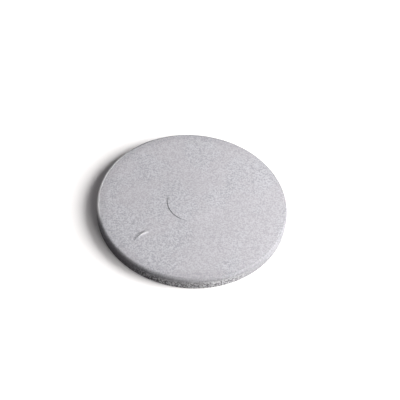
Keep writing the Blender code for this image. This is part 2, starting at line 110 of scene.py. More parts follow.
RIDGE_ARC_RADIUS = 1.72
RIDGE_HALF_WIDTH = 0.12
RIDGE_RISE = 0.05
RIDGE_SWEEP = math.radians(56)
NICK_OFFSET = 0.27
NICK_HALF_WIDTH = 0.16
NICK_DEPTH = 0.022
NICK_SWEEP = math.radians(88)
NICK_SHIFT = math.radians(13)
RIDGE_DISTANCE = 6.71
RIDGE_BEARING = math.radians(-134.9)
RIDGE_FACING = math.radians(131)
RIDGE_FULLNESS = 0.7
RIDGE_ZONE = (5.7, 8.5)
RIDGE_ZONE_ANGLE = math.radians(9)

# how close together the cover's rings and spokes are, away from the ridge and at it
RING_STEPS = (0.35, 0.04)
SPOKE_STEPS = (math.radians(1.5), math.radians(0.33))

# where the cover's painted shade, painted light and speckles change: across is along X, forth is along Y, and
# out is from the axis

SHOULDER_OUT = (9.665, 9.76)
SHOULDER_UP = (0.95, 1.36)
LEFT_TO_FRONT = (-6.5, -1.5)
FRONT_TO_RIGHT = (1.5, 8.0)
RIGHT_EDGE = (1.0, 7.0)
RIGHT_EDGE_OUT = (8.7, 9.4)
WALL_UP = (0.12, 1.05)
STEP_FOOT_UP = (1.462, 1.472)
STEP_CREST_UP = (1.505, 1.514)
STEP_OUT = (3.4, 3.6)
STEP_ACROSS = (-1.6, 0.0)
STEP_FORTH = (-0.7, 0.3)
NICK_UP = (1.440, 1.458)
FACE_OUT = (9.3, 9.5)
CREST_UP = (1.474, 1.495)
CREST_OUT = (5.5, 8.0)
LEFT_RIM_ACROSS = (-8.8, -6.0)
LEFT_RIM_FORTH = (-4.2, -1.4)
FRONT_LIGHT_UP = (0.90, 1.25)
FRONT_LIGHT_LEFT = (-5.0, -1.0)
FRONT_LIGHT_RIGHT = (2.0, 7.0)
SPECKLE_UP = (0.6, 1.45)
SPECKLE_FORTH = (-9.5, -7.6)

# ---- the works inside and underneath, in millimetres ----
# A ring is its inner and outer radius, its bottom and its top. Levels are a bottom and a top.

PLATE_RADIUS = 9.83
PLATE_BOTTOM = 0.10
PLATE_TOP = 0.25
HUB_RADIUS = 0.95
HUB_TAPER = 0.05
HUB_TOP = 0.50
HUB_FILLET = 0.08
BORE_RADIUS = 0.52
BORE_ENTRY = 0.07
SLOT_MIDDLE_X = -8.64
SLOT_LENGTH = 0.40
SLOT_WIDTH = 3.4
SLOT_CORNER = 0.14

WELD_RADIUS = 0.22
WELD_BASE = 0.09
WELD_HEIGHT = 0.035
WELD_DISTANCE = 9.77
WELD_FIT = 0.94
SOLDER_FIT = 0.93

ADHESIVE_RADIUS = 9.25
ADHESIVE_TOP = 0.09
WINDOW_INNER_X = -4.90
WINDOW_WIDTH = 3.6
WINDOW_CORNER = 0.4

FLEX_RING = (1.10, 7.70, 0.26, 0.31)
TAIL_WIDTH = 3.0
TAIL_TOP = 0.305
TAIL_LOW = 0.035
TAIL_THICKNESS = 0.04
TAIL_BEND = 0.03
TAIL_FOLD_X = -8.62
TAIL_START_X = -7.20
TAIL_END_X = -5.20

PAD_MIDDLE_X = -6.91
PAD_MIDDLE_Y = 0.75
PAD_LENGTH = 1.9
PAD_WIDTH = 1.15
PAD_CORNER = 0.16
PAD_LEVELS = (0.015, 0.03)

SHAFT_RADIUS = 0.50
SHAFT_TOP = 1.345
SHAFT_CHAMFER = 0.05
WASHER_RADIUS = 0.95
WASHER_BOTTOMS = {"lower_washer": 0.51, "upper_washer": 1.265}
WASHER_THICKNESS = 0.04
BEARING_RADIUS = 1.10
BEARING_BOTTOM = 0.56
BEARING_TOP = 1.255

GLUE_RING = (3.60, 7.40, 0.32, 0.345)
MAGNET_RING = (3.40, 7.60, 0.355, 0.66)

POLES = (("positive", 1), ("negative", -1))
BRUSH_LANE = 1.50
BRUSH_WIDTH = 0.60
BRUSH_THICKNESS = 0.045
BRUSH_FOOT_X = -2.60
BRUSH_RISE_X = -1.45
BRUSH_FORK_X = -0.10
BRUSH_CONTACT_X = 1.30
BRUSH_TIP_X = 1.55
BRUSH_LOW = 0.345
BRUSH_HIGH = 0.665
BRUSH_TIP_DIP = 0.10
FORK_GAP = 0.10
BRUSH_SOLDER_X = -2.025
BRUSH_SOLDER_RADIUS = 0.29
BRUSH_SOLDER_BASE = 0.3775
BRUSH_SOLDER_HEIGHT = 0.07

BOARD_LEVELS = (0.73, 0.83)
ROTOR_RADIUS = 9.40
ROTOR_CUT_Y = -1.20
ROTOR_HUB_RADIUS = 2.70
ROTOR_BORE_RADIUS = 1.12

SEGMENT_COUNT = 6
SEGMENT_RADII = (1.25, 2.45)
SEGMENT_LEVELS = (0.70, 0.725)
SEGMENT_GAP = 0.14
SEGMENT_CORNER = 0.07
WEAR_RADIUS = 1.98

COIL_DISTANCE = 5.60
COIL_BEARING = math.radians(58)
COIL_RADIUS = 3.00
COIL_INNER_RADIUS = 1.10
COIL_BOTTOM = 0.915
COIL_TOP = 1.19
COIL_TURNS = 20
COIL_LAYERS = 3

WEIGHT_INNER_RADIUS = 3.40
WEIGHT_OUTER_RADIUS = 9.20
WEIGHT_SPREAD = math.radians(76)
WEIGHT_COIL_CLEARANCE = 0.28
WEIGHT_BOTTOM = 0.915
WEIGHT_TOP = 1.20
WEIGHT_EDGE = 0.05

MOULDING_BOTTOM = 0.845
MOULDING_TOP = 1.21
POCKET_FLOOR = 0.905
POCKET_GAP = 0.03
POCKET_MOUTH = 0.02
CUT_MARGIN = 0.2

COIL_SOLDER_RADIUS = 0.19
COIL_SOLDER_BASE = 0.72
COIL_SOLDER_HEIGHT = 0.09
COIL_SOLDER_DISTANCE = 2.95
COIL_SOLDER_BEARINGS = (38, 66, 114, 142)

# ---- mesh resolution ----

ROUND_STEPS = 160
SMALL_STEPS = 72
COIL_STEPS = 96
BEAD_STEPS = 36
BEAD_RINGS = 12
SMOOTH_ANGLE = math.radians(40)


# ---- lights, floor and camera ----


def aim(item, target):
    """Turn a light or camera so that it looks at a point."""
    item.rotation_mode = "QUATERNION"
    item.rotation_quaternion = (Vector(target) - item.location).to_track_quat("-Z", "Y")


def from_angles(azimuth, elevation, distance):
    """A place round the motor's face. Azimuth 0 is the camera's side and 90 is +X."""
    a = math.radians(azimuth)
    e = math.radians(elevation)
    direction = Vector((math.sin(a) * math.cos(e), -math.cos(a) * math.cos(e), math.sin(e)))
    return Vector((0, 0, FACE_HEIGHT)) + direction * distance


def add_object(name, data):
    """A new object in the scene."""
    made = bpy.data.objects.new(name, data)
    bpy.context.scene.collection.objects.link(made)
    return made


def make_camera():
    """The camera, with its slight roll."""
    data = bpy.data.cameras.new("camera")
    data.lens = CAMERA_LENS
    data.sensor_width = CAMERA_SENSOR
    data.shift_x, data.shift_y = CAMERA_SHIFT
    data.clip_start, data.clip_end = CAMERA_SEES
    camera = add_object("camera", data)
    camera.location = from_angles(0, math.degrees(CAMERA_ELEVATION), CAMERA_DISTANCE)
    aim(camera, (0, 0, FACE_HEIGHT))
    roll = Matrix.Rotation(CAMERA_ROLL, 4, "Z").to_quaternion()
    camera.rotation_quaternion = camera.rotation_quaternion @ roll
    bpy.context.scene.camera = camera


def add_light(name, kind, azimuth, elevation, distance, energy, colour=(1, 1, 1), **settings):
    """A light aimed at the motor."""
    data = bpy.data.lights.new(name, kind)
    data.energy = energy
    data.color = colour
    for key, value in settings.items():
        setattr(data, key, value)
    light = add_object(name, data)
    light.location = from_angles(azimuth, elevation, distance)
    aim(light, (0, 0, FACE_HEIGHT))


def make_world():
    """A faint even fill. The camera itself sees plain white behind the floor."""
    world = bpy.data.worlds.new("studio")
    world.use_nodes = True
    nodes = world.node_tree.nodes
    links = world.node_tree.links
    fill = nodes["Background"]
    fill.inputs["Color"].default_value = (*FILL_COLOUR, 1.0)
    fill.inputs["Strength"].default_value = FILL_STRENGTH
    backdrop = nodes.new("ShaderNodeBackground")
    backdrop.inputs["Color"].default_value = (1.0, 1.0, 1.0, 1.0)
    seen = nodes.new("ShaderNodeLightPath")
    mix = nodes.new("ShaderNodeMixShader")
    links.new(seen.outputs["Is Camera Ray"], mix.inputs[0])
    links.new(fill.outputs[0], mix.inputs[1])
    links.new(backdrop.outputs[0], mix.inputs[2])
    links.new(mix.outputs[0], nodes["World Output"].inputs["Surface"])
    bpy.context.scene.world = world


def make_lights():
    """One large key from the right, part of it close by and part even, and a weak card at the back left."""
    add_light(
        "key", "AREA", KEY_AZIMUTH, KEY_ELEVATION, KEY_DISTANCE, KEY_POWER, KEY_COLOUR,
        shape="DISK", size=KEY_SIZE,
    )
    add_light(
        "even_key", "SUN", EVEN_KEY_AZIMUTH, KEY_ELEVATION, EVEN_KEY_DISTANCE, EVEN_KEY_STRENGTH, KEY_COLOUR,
        angle=EVEN_KEY_SPREAD,
    )
    add_light(
        "rim_card", "AREA", RIM_AZIMUTH, RIM_ELEVATION, RIM_DISTANCE, RIM_POWER,
        shape="DISK", size=RIM_SIZE,
    )
    make_world()
    bpy.context.scene.view_settings.view_transform = "Standard"
    bpy.context.scene.view_settings.look = "None"


# ---- node helpers ----


class Finish:
    """One procedural material under construction. Sizes are in millimetres on the motor itself."""

    def __init__(self, name, roughness, metallic=0.0):
        self.material = bpy.data.materials.new(name)
        self.material.use_nodes = True
        self.tree = self.material.node_tree
        self.shader = self.tree.nodes["Principled BSDF"]
        self.shader.inputs["Roughness"].default_value = roughness
        self.shader.inputs["Metallic"].default_value = metallic
        self.place = self.node("ShaderNodeTexCoord").outputs["Object"]

    def node(self, kind, **settings):
        made = self.tree.nodes.new(kind)
        for key, value in settings.items():
            setattr(made, key, value)
        return made

    def feed(self, target, value):
        """Give an input a number, a colour or another node's output."""
        if isinstance(value, tuple):
            target.default_value = (*value, 1.0)
        elif isinstance(value, (int, float)):
            target.default_value = value
        else:
            self.tree.links.new(value, target)

    def stretched(self, x, y, z):
        """The place, scaled differently along each axis."""
        mapping = self.node("ShaderNodeMapping")
        mapping.inputs["Scale"].default_value = (x, y, z)
        self.feed(mapping.inputs["Vector"], self.place)
        return mapping.outputs["Vector"]

    def noise(self, size, detail=2.0, rough=0.5, place=None, distortion=0.0):
        """Noise whose lumps are about size across."""
        made = self.node("ShaderNodeTexNoise")
        made.inputs["Scale"].default_value = 1 / (size * MM)
        made.inputs["Detail"].default_value = detail
        made.inputs["Roughness"].default_value = rough
        made.inputs["Distortion"].default_value = distortion
        self.feed(made.inputs["Vector"], place or self.place)
        return made.outputs["Fac"]

    def cells(self, size):
        """The distance to scattered points about size apart."""
        made = self.node("ShaderNodeTexVoronoi")
        made.inputs["Scale"].default_value = 1 / (size * MM)
        self.feed(made.inputs["Vector"], self.place)
        return made.outputs["Distance"]

    def maths(self, operation, a, b=0.0, clamp=False):
        made = self.node("ShaderNodeMath", operation=operation, use_clamp=clamp)
        self.feed(made.inputs[0], a)
        self.feed(made.inputs[1], b)
        return made.outputs["Value"]

    def times(self, a, b):
        return self.maths("MULTIPLY", a, b)

    def plus(self, a, b):
        return self.maths("ADD", a, b)

    def spread(self, value, low, high, to_low=0.0, to_high=1.0):
        """value carried smoothly from one range to another."""
        made = self.node("ShaderNodeMapRange", interpolation_type="SMOOTHSTEP")
        for name, number in (("From Min", low), ("From Max", high), ("To Min", to_low), ("To Max", to_high)):
            made.inputs[name].default_value = number
        self.feed(made.inputs["Value"], value)
        return made.outputs["Result"]

    def fall(self, value, low, high):
        """One up to low, falling smoothly to nothing at high."""
        return self.spread(value, low, high, 1.0, 0.0)

    def blend(self, share, first, second):
        """Two colours mixed by a share. A colour is three numbers or an output."""
        made = self.node("ShaderNodeMix", data_type="RGBA")
        for index, value in ((0, share), (6, first), (7, second)):
            self.feed(made.inputs[index], value)
        return made.outputs[2]

    def tones(self, value, first, second, low=0.3, high=0.7, most=1.0):
        """A colour that runs from one tone to another, or part of the way, as value goes from low to high."""
        return self.blend(self.spread(value, low, high, 0.0, most), first, second)

    def along(self, axis):
        """The place along one axis of the motor, in millimetres."""
        parts = self.node("ShaderNodeSeparateXYZ")
        self.feed(parts.inputs[0], self.place)
        return self.maths("DIVIDE", parts.outputs[axis], MM)

    def radius(self, x=0.0, y=0.0):
        """How far from an upright axis through (x, y), in millimetres."""
        across = self.maths("SUBTRACT", self.along("X"), x)
        forth = self.maths("SUBTRACT", self.along("Y"), y)
        return self.maths("SQRT", self.plus(self.times(across, across), self.times(forth, forth)))

    def band(self, value, low, high, soft):
        """One between low and high, falling to nothing within soft on either side."""
        rise = self.spread(value, low - soft, low)
        return self.times(rise, self.fall(value, high, high + soft))

    def socket(self, name, value):
        """Set one of the shader's own inputs, or link it."""
        self.feed(self.shader.inputs[name], value)

    def colour(self, output):
        self.socket("Base Color", output)

    def roughness(self, value, *span):
        """Set the roughness, from a value that may first be carried to another range."""
        self.socket("Roughness", self.spread(value, *span) if span else value)

    def bump(self, height, depth, strength=1.0, after=None):
        """A relief of depth millimetres where height runs from 0 to 1."""
        made = self.node("ShaderNodeBump")
        made.inputs["Strength"].default_value = strength
        made.inputs["Distance"].default_value = depth * MM
        self.feed(made.inputs["Height"], height)
        if after:
            self.feed(made.inputs["Normal"], after)
        self.socket("Normal", made.outputs["Normal"])
        return made.outputs["Normal"]


# ---- materials ----


def cover_shade_and_dulling(f, across, forth, height, radius):
    """The shoulder's curve, how far painted shade darkens the cover in all, and how much of that is also made
    matt.
    """
    # painted shade on the shoulder's curve: none at the left, more at the front and most at the right, where
    # the key light falls on it
    side = f.plus(f.spread(across, *LEFT_TO_FRONT, 0.0, 0.20), f.spread(across, *FRONT_TO_RIGHT, 0.0, 0.16))
    curve = f.times(f.spread(radius, *SHOULDER_OUT), f.spread(height, *SHOULDER_UP))
    shoulder = f.times(curve, side)
    # painted shade near the face's edge, everywhere but on the right side
    near_edge = f.times(f.spread(radius, *RIGHT_EDGE_OUT), f.spread(across, *RIGHT_EDGE, 0.12, 0.0))
    near_edge = f.times(near_edge, f.spread(height, 1.0, 1.4))
    # painted shade low on the wall, strongest on the left and front left, where the floor beside it is in
    # shadow
    low = f.times(f.fall(height, *WALL_UP), f.spread(across, *LEFT_TO_FRONT, 0.42, 0.05))
    # painted shade on the boss's step, only on its left and front-left part, which faces away from the light
    step = f.times(f.spread(height, *STEP_FOOT_UP), f.spread(height, *STEP_CREST_UP, 0.48, 0.0))
    step = f.times(step, f.fall(radius, *STEP_OUT))
    crisp = f.times(f.fall(across, *STEP_ACROSS), f.fall(forth, *STEP_FORTH))
    step = f.times(step, crisp)
    # painted shade in the shallow nick beside the ridge
    sunk = f.times(f.spread(height, *NICK_UP, 0.35, 0.0), f.fall(radius, *FACE_OUT))
    total = f.plus(shoulder, near_edge)
    for share in (low, step, sunk):
        total = f.plus(total, share)
    return curve, total, f.maths("MAXIMUM", f.times(shoulder, 1.8), f.times(step, 1.8), True)


def cover_painted_light(f, across, forth, height, radius, curve):
    """How far painted light brightens the cover: a painted highlight at the left rim and on the ridge's
    crest, and painted light low on the front wall.
    """
    # a painted highlight along the left rim's shoulder, between the left and the front left
    rim = f.maths("SUBTRACT", curve, f.spread(across, *LEFT_RIM_ACROSS), True)
    rim = f.times(rim, f.spread(forth, *LEFT_RIM_FORTH))
    # a painted highlight along the ridge's crest
    crest = f.times(f.spread(height, *CREST_UP, 0.0, 0.26), f.band(radius, *CREST_OUT, 0.1))
    # painted light low on the front wall, lightening it between the left and the right
    rub_wear_and_painted_light = f.times(f.fall(height, *FRONT_LIGHT_UP), f.spread(across, *FRONT_LIGHT_LEFT, 0.0, 0.4))
    rub_wear_and_painted_light = f.times(rub_wear_and_painted_light, f.fall(across, *FRONT_LIGHT_RIGHT))
    return f.plus(f.maths("MAXIMUM", rim, crest), rub_wear_and_painted_light)


def cover_finish():
    """Matt nickel over drawn steel: a fine even grain, a faint mottle and a speckled sheared lower edge, with
    painted shade and painted highlights over it.
    """
    f = Finish("cover_finish", 0.55, 0.12)
    height = f.along("Z")
    radius = f.radius()
    across = f.along("X")
    forth = f.along("Y")
    grain = f.noise(0.156, 2.0, 0.7)
    mottle = f.noise(1.1, 3.0, 0.55)
    tint = f.noise(2.6, 1.0, 0.5)
    grey = f.tones(grain, (0.286, 0.288, 0.307), (0.452, 0.454, 0.485), 0.33, 0.67)
    grey = f.tones(tint, grey, (0.392, 0.376, 0.398), 0.42, 0.60, 0.30)
    curve, shade, dull = cover_shade_and_dulling(f, across, forth, height, radius)
    # painted shade darkens the grey towards near black
    grey = f.blend(shade, grey, (0.05, 0.05, 0.052))
    # painted highlights and painted light lighten it towards near white
    grey = f.blend(cover_painted_light(f, across, forth, height, radius, curve), grey, (0.90, 0.90, 0.91))

    edge = f.noise(0.17, 1.0, 0.6)
    rough = f.times(f.fall(height, *SPECKLE_UP), f.spread(forth, *SPECKLE_FORTH, 1.0, 0.15))
    pits = f.times(rough, f.spread(edge, 0.50, 0.62, 0.0, 0.9))
    # the bright specks are painted glints; the dark pits beside them are the edge's own texture
    glints = f.times(rough, f.spread(edge, 0.36, 0.48, 0.9, 0.0))
    grey = f.blend(pits, grey, (0.055, 0.053, 0.055))
    f.colour(f.blend(glints, grey, (0.80, 0.80, 0.82)))

    f.socket("Metallic", f.spread(dull, 0.0, 1.0, 0.12, 0.04))
    f.roughness(f.plus(f.spread(mottle, 0.3, 0.7, 0.52, 0.62), f.times(dull, 0.15)))
    f.socket("Specular IOR Level", 0.2)
    f.bump(f.times(rough, edge), 0.03, 1.0, f.bump(grain, 0.008, 0.9))
    return f.material


def plate_finish():
    """Nickel-plated steel sheet: faint rolling lines, a few scratches and dull patches."""
    f = Finish("plate_finish", 0.36, 0.65)
    lines = f.noise(0.10, 3.0, 0.65, f.stretched(0.04, 1, 1))
    patches = f.noise(2.4, 3.0, 0.6)
    scratches = f.noise(0.05, 1.0, 0.5, f.stretched(0.05, 0.7, 1), 0.6)
    grey = f.tones(lines, (0.47, 0.47, 0.475), (0.61, 0.61, 0.62))
    grey = f.tones(patches, grey, (0.42, 0.405, 0.39), 0.52, 0.72, 0.35)
    f.colour(f.tones(scratches, grey, (0.75, 0.75, 0.76), 0.70, 0.76, 0.5))
    f.roughness(patches, 0.35, 0.7, 0.30, 0.46)
    f.bump(scratches, 0.003, 0.7, f.bump(lines, 0.006, 0.8))
    return f.material


def weld_finish():
    """A welded bead: bright in the middle, straw and blue heat tint towards its edge."""
    f = Finish("weld_finish", 0.3, 0.7)
    height = f.along("Z")
    wander = f.times(f.spread(f.noise(0.12, 2.0), 0.3, 0.7, -1.0, 1.0), 0.004)
    level = f.plus(height, wander)
    tint = f.tones(level, (0.63, 0.62, 0.60), (0.60, 0.45, 0.24), 0.060, 0.070)
    tint = f.tones(level, tint, (0.24, 0.26, 0.38), 0.070, 0.080)
    f.colour(f.tones(level, tint, (0.46, 0.45, 0.43), 0.082, 0.089))
    ripple = f.maths("SINE", f.times(level, 900.0))
    f.roughness(ripple, -1.0, 1.0, 0.24, 0.38)
    f.bump(f.noise(0.05, 3.0, 0.6), 0.004, 0.8, f.bump(ripple, 0.0015, 0.6))
    return f.material


def tape_finish():
    """Double-sided adhesive film: cream tissue fibres in clear adhesive, with a slight sheen."""
    f = Finish("tape_finish", 0.55)
    fibres = f.noise(0.16, 2.0, 0.55, f.stretched(0.12, 1, 1), 0.8)
    crossed = f.noise(0.16, 2.0, 0.55, f.stretched(1, 0.14, 1), 0.8)
    web = f.maths("MAXIMUM", f.spread(fibres, 0.55, 0.72), f.spread(crossed, 0.56, 0.74))
    cloud = f.noise(1.5, 3.0, 0.55)
    cream = f.tones(cloud, (0.80, 0.775, 0.70), (0.845, 0.83, 0.77), 0.35, 0.68)
    f.colour(f.blend(f.times(web, 0.55), cream, (0.66, 0.635, 0.56)))
    f.roughness(cloud, 0.35, 0.65, 0.44, 0.62)
    f.bump(web, 0.006, 0.8, f.bump(cloud, 0.02, 0.5))
    return f.material


def shaft_finish():
    """Ground steel, with fine lines running round it."""
    f = Finish("shaft_finish", 0.22, 0.65)
    rings = f.noise(0.02, 2.0, 0.6, f.stretched(0.06, 0.06, 1))
    swirl = f.noise(0.03, 2.0, 0.6)
    f.colour(f.tones(rings, (0.53, 0.53, 0.54), (0.67, 0.67, 0.68)))
    f.roughness(swirl, 0.3, 0.7, 0.14, 0.26)
    f.bump(rings, 0.0012, 0.7)
    return f.material


def washer_finish():
    """Slippery polyester film, polished where it rubs."""
    f = Finish("washer_finish", 0.45)
    cloud = f.noise(0.25, 3.0, 0.6)
    rub = f.noise(0.05, 1.0, 0.5)
    milk = f.tones(cloud, (0.83, 0.81, 0.74), (0.91, 0.89, 0.83))
    oily = f.band(f.radius(), 0.55, 0.72, 0.08)
    f.colour(f.blend(f.times(oily, 0.35), milk, (0.66, 0.58, 0.42)))
    f.roughness(oily, 0.0, 1.0, 0.5, 0.25)
    f.socket("Subsurface Weight", 0.15)
    f.socket("Subsurface Scale", 0.00005)
    f.bump(rub, 0.002, 0.6)
    return f.material


def magnet_finish():
    """Bright nickel plate over a sintered magnet, a little uneven, worn at its edges."""
    f = Finish("magnet_finish", 0.26, 0.6)
    peel = f.noise(0.22, 2.0, 0.5)
    stain = f.noise(1.7, 4.0, 0.6)
    radius = f.radius()
    rims = f.maths("MAXIMUM", f.spread(radius, 7.45, 7.58), f.fall(radius, 3.42, 3.55))
    chips = f.times(rims, f.spread(f.noise(0.14, 2.0, 0.6), 0.60, 0.66))
    plate = f.tones(peel, (0.53, 0.52, 0.50), (0.60, 0.59, 0.57))
    plate = f.tones(stain, plate, (0.46, 0.43, 0.39), 0.52, 0.72, 0.35)
    f.colour(f.blend(f.times(chips, 0.75), plate, (0.12, 0.115, 0.11)))
    f.roughness(f.plus(f.spread(stain, 0.4, 0.7, 0.20, 0.34), f.times(chips, 0.3)))
    f.bump(chips, -0.01, 0.8, f.bump(peel, 0.004, 0.6))
    return f.material


def epoxy_finish():
    """Cured amber epoxy with small trapped bubbles."""
    f = Finish("epoxy_finish", 0.3)
    cloud = f.noise(0.9, 3.0, 0.55)
    bubbles = f.fall(f.cells(0.35), 0.10, 0.16)
    amber = f.tones(cloud, (0.66, 0.52, 0.26), (0.80, 0.70, 0.46), 0.35, 0.68)
    f.colour(f.blend(f.times(bubbles, 0.5), amber, (0.90, 0.84, 0.68)))
    f.roughness(cloud, 0.3, 0.7, 0.22, 0.36)
    f.socket("Coat Weight", 0.4)
    f.bump(bubbles, 0.01, 0.8, f.bump(cloud, 0.01, 0.5))
    return f.material


def flex_finish():
    """Amber polyimide film over copper: two wide traces run from the tail to the brushes' feet."""
    f = Finish("flex_finish", 0.32)
    forth = f.along("Y")
    side = f.maths("ABSOLUTE", forth)
    across = f.along("X")
    inward = f.spread(across, -8.30, -5.60)
    lane = f.plus(f.times(inward, BRUSH_LANE - PAD_MIDDLE_Y), PAD_MIDDLE_Y)
    off = f.maths("ABSOLUTE", f.maths("SUBTRACT", side, lane))
    trace = f.times(f.fall(off, 0.36, 0.41), f.fall(across, -1.62, -1.56))
    ring = f.times(f.band(f.radius(), 4.6, 7.3, 0.05), f.spread(across, 0.4, 0.45))
    copper = f.maths("MAXIMUM", trace, ring)
    weave = f.noise(0.12, 3.0, 0.6)
    film = f.tones(weave, (0.41, 0.165, 0.022), (0.50, 0.22, 0.042))
    over_copper = f.tones(weave, (0.57, 0.28, 0.07), (0.66, 0.35, 0.11))
    f.colour(f.blend(copper, film, over_copper))
    f.roughness(weave, 0.3, 0.7, 0.26, 0.38)
    f.socket("Coat Weight", 0.3)
    f.socket("Metallic", f.spread(copper, 0.0, 1.0, 0.0, 0.35))
    f.bump(weave, 0.0015, 0.6, f.bump(copper, 0.010, 1.0))
    return f.material


def pad_finish():
    """Hard gold plate with a fine brushed grain and a probe mark in the middle of each pad."""
    f = Finish("pad_finish", 0.25, 0.65)
    grain = f.noise(0.04, 3.0, 0.6, f.stretched(0.12, 1, 1))
    cloud = f.noise(0.5, 2.0, 0.5)
    gold = f.tones(grain, (0.80, 0.56, 0.19), (0.88, 0.66, 0.29))
    gold = f.tones(cloud, gold, (0.74, 0.49, 0.20), 0.50, 0.70, 0.3)
    upper = f.radius(PAD_MIDDLE_X + 0.25, PAD_MIDDLE_Y - 0.08)
    lower = f.radius(PAD_MIDDLE_X + 0.18, -PAD_MIDDLE_Y + 0.05)
    marks = f.fall(f.maths("MINIMUM", upper, lower), 0.045, 0.075)
    f.colour(f.blend(f.times(marks, 0.6), gold, (0.38, 0.27, 0.12)))
    f.roughness(cloud, 0.3, 0.7, 0.20, 0.32)
    f.bump(marks, -0.006, 0.9, f.bump(grain, 0.0015, 0.7))
    return f.material


def brush_finish():
    """Rolled copper-alloy strip: lines along its length, tarnished at the foot, rubbed bright at the tips."""
    f = Finish("brush_finish", 0.28, 0.6)
    across = f.along("X")
    lines = f.noise(0.03, 3.0, 0.6, f.stretched(0.05, 1, 1))
    blotch = f.spread(f.noise(0.35, 3.0, 0.6), 0.4, 0.7)
    tarnish = f.times(f.spread(across, -1.4, 0.2, 1.0, 0.25), blotch)
    rub_wear_and_painted_light = f.spread(across, 1.02, 1.2)
    metal = f.tones(lines, (0.72, 0.43, 0.24), (0.84, 0.55, 0.34))
    metal = f.blend(f.times(tarnish, 0.6), metal, (0.46, 0.26, 0.15))
    f.colour(f.blend(f.times(rub_wear_and_painted_light, 0.6), metal, (0.86, 0.68, 0.46)))
    f.roughness(f.maths("SUBTRACT", f.spread(tarnish, 0.0, 1.0, 0.26, 0.40), f.times(rub_wear_and_painted_light, 0.08)))
    f.bump(lines, 0.0015, 0.8)
    return f.material


def solder_finish():
    """Satin solder with a frosted, finely crystalline skin and a trace of amber flux."""
    f = Finish("solder_finish", 0.3, 0.65)
    crystals = f.cells(0.05)
    frost = f.noise(0.09, 3.0, 0.6)
    silver = f.tones(crystals, (0.56, 0.56, 0.57), (0.73, 0.73, 0.74), 0.0, 0.6)
    flux = f.spread(frost, 0.60, 0.72, 0.0, 0.5)
    f.colour(f.blend(flux, silver, (0.50, 0.36, 0.16)))
    f.roughness(frost, 0.3, 0.7, 0.22, 0.42)
    f.bump(crystals, 0.002, 0.6, f.bump(frost, 0.006, 0.7))
    return f.material


def bearing_finish():
    """Oiled sintered bronze, finely porous."""
    f = Finish("bearing_finish", 0.42, 0.6)
    grains = f.cells(0.035)
    pores = f.spread(f.noise(0.05, 2.0, 0.6), 0.60, 0.68)
    bronze = f.tones(grains, (0.66, 0.49, 0.28), (0.50, 0.35, 0.19), 0.0, 0.7)
    f.colour(f.blend(f.times(pores, 0.8), bronze, (0.11, 0.07, 0.035)))
    f.roughness(grains, 0.0, 0.7, 0.32, 0.52)
    f.bump(pores, -0.006, 0.9, f.bump(grains, -0.003, 0.7))
    return f.material


def board_finish():
    """Green glass-epoxy laminate: a faint cloth weave, tinned rings at the coil ends and a ring of traces."""
    f = Finish("board_finish", 0.4)
    warp = f.maths("SINE", f.times(f.along("X"), 24.0))
    weft = f.maths("SINE", f.times(f.along("Y"), 24.0))
    weave = f.times(warp, weft)
    cloud = f.noise(0.8, 3.0, 0.55)
    green = f.tones(weave, (0.075, 0.245, 0.105), (0.115, 0.335, 0.155), -1.0, 1.0)
    green = f.tones(cloud, green, (0.06, 0.20, 0.10), 0.4, 0.7, 0.4)
    ends = None
    for bearing in COIL_SOLDER_BEARINGS:
        off = f.radius(*on_circle(COIL_SOLDER_DISTANCE, math.radians(bearing)))
        ends = f.maths("MINIMUM", ends, off) if ends else off
    tinned = f.fall(ends, 0.25, 0.27)
    link = f.times(f.band(f.radius(), 2.40, 2.95, 0.02), f.fall(ends, 0.42, 0.46))
    under = f.fall(f.along("Z"), 0.74, 0.75)
    tinned = f.times(tinned, under)
    green = f.blend(f.times(link, f.times(under, 0.75)), green, (0.19, 0.42, 0.17))
    f.colour(f.blend(tinned, green, (0.66, 0.64, 0.60)))
    f.roughness(cloud, 0.3, 0.7, 0.34, 0.48)
    f.socket("Metallic", tinned)
    f.bump(tinned, 0.006, 0.8, f.bump(weave, 0.003, 0.7))
    return f.material


def segment_finish():
    """Hard gold plate, scored into dull rings where the brushes run."""
    f = Finish("segment_finish", 0.22, 0.65)
    radius = f.radius()
    worn = f.band(radius, WEAR_RADIUS - 0.22, WEAR_RADIUS + 0.20, 0.06)
    rings = f.maths("SINE", f.times(radius, 190.0))
    uneven = f.noise(0.3, 3.0, 0.6)
    gold = f.tones(uneven, (0.80, 0.56, 0.19), (0.88, 0.66, 0.29))
    score = f.times(worn, f.spread(rings, -1.0, 1.0, 0.35, 0.8))
    f.colour(f.blend(score, gold, (0.44, 0.31, 0.16)))
    f.roughness(f.plus(f.times(worn, 0.18), f.spread(uneven, 0.3, 0.7, 0.18, 0.28)))
    f.bump(f.times(worn, rings), 0.0015, 0.9)
    return f.material


def coil_finish(side):
    """Enamelled copper wire: each turn a little different in tone, glossy with varnish."""
    f = Finish("coil_finish_" + ("left" if side < 0 else "right"), 0.3, 0.6)
    radius = f.radius(*coil_place(side))
    turn = f.maths("FLOOR", f.times(radius, COIL_TURNS / (COIL_RADIUS - COIL_INNER_RADIUS)))
    tone = f.maths("FRACT", f.times(turn, 0.618))
    copper = f.blend(tone, (0.60, 0.235, 0.085), (0.78, 0.37, 0.17))
    varnish = f.noise(0.6, 3.0, 0.6)
    f.colour(f.tones(varnish, copper, (0.44, 0.16, 0.055), 0.50, 0.72, 0.45))
    f.roughness(varnish, 0.3, 0.7, 0.24, 0.38)
    f.socket("Coat Weight", 0.5)
    f.bump(f.noise(0.05, 2.0, 0.5), 0.002, 0.5)
    return f.material


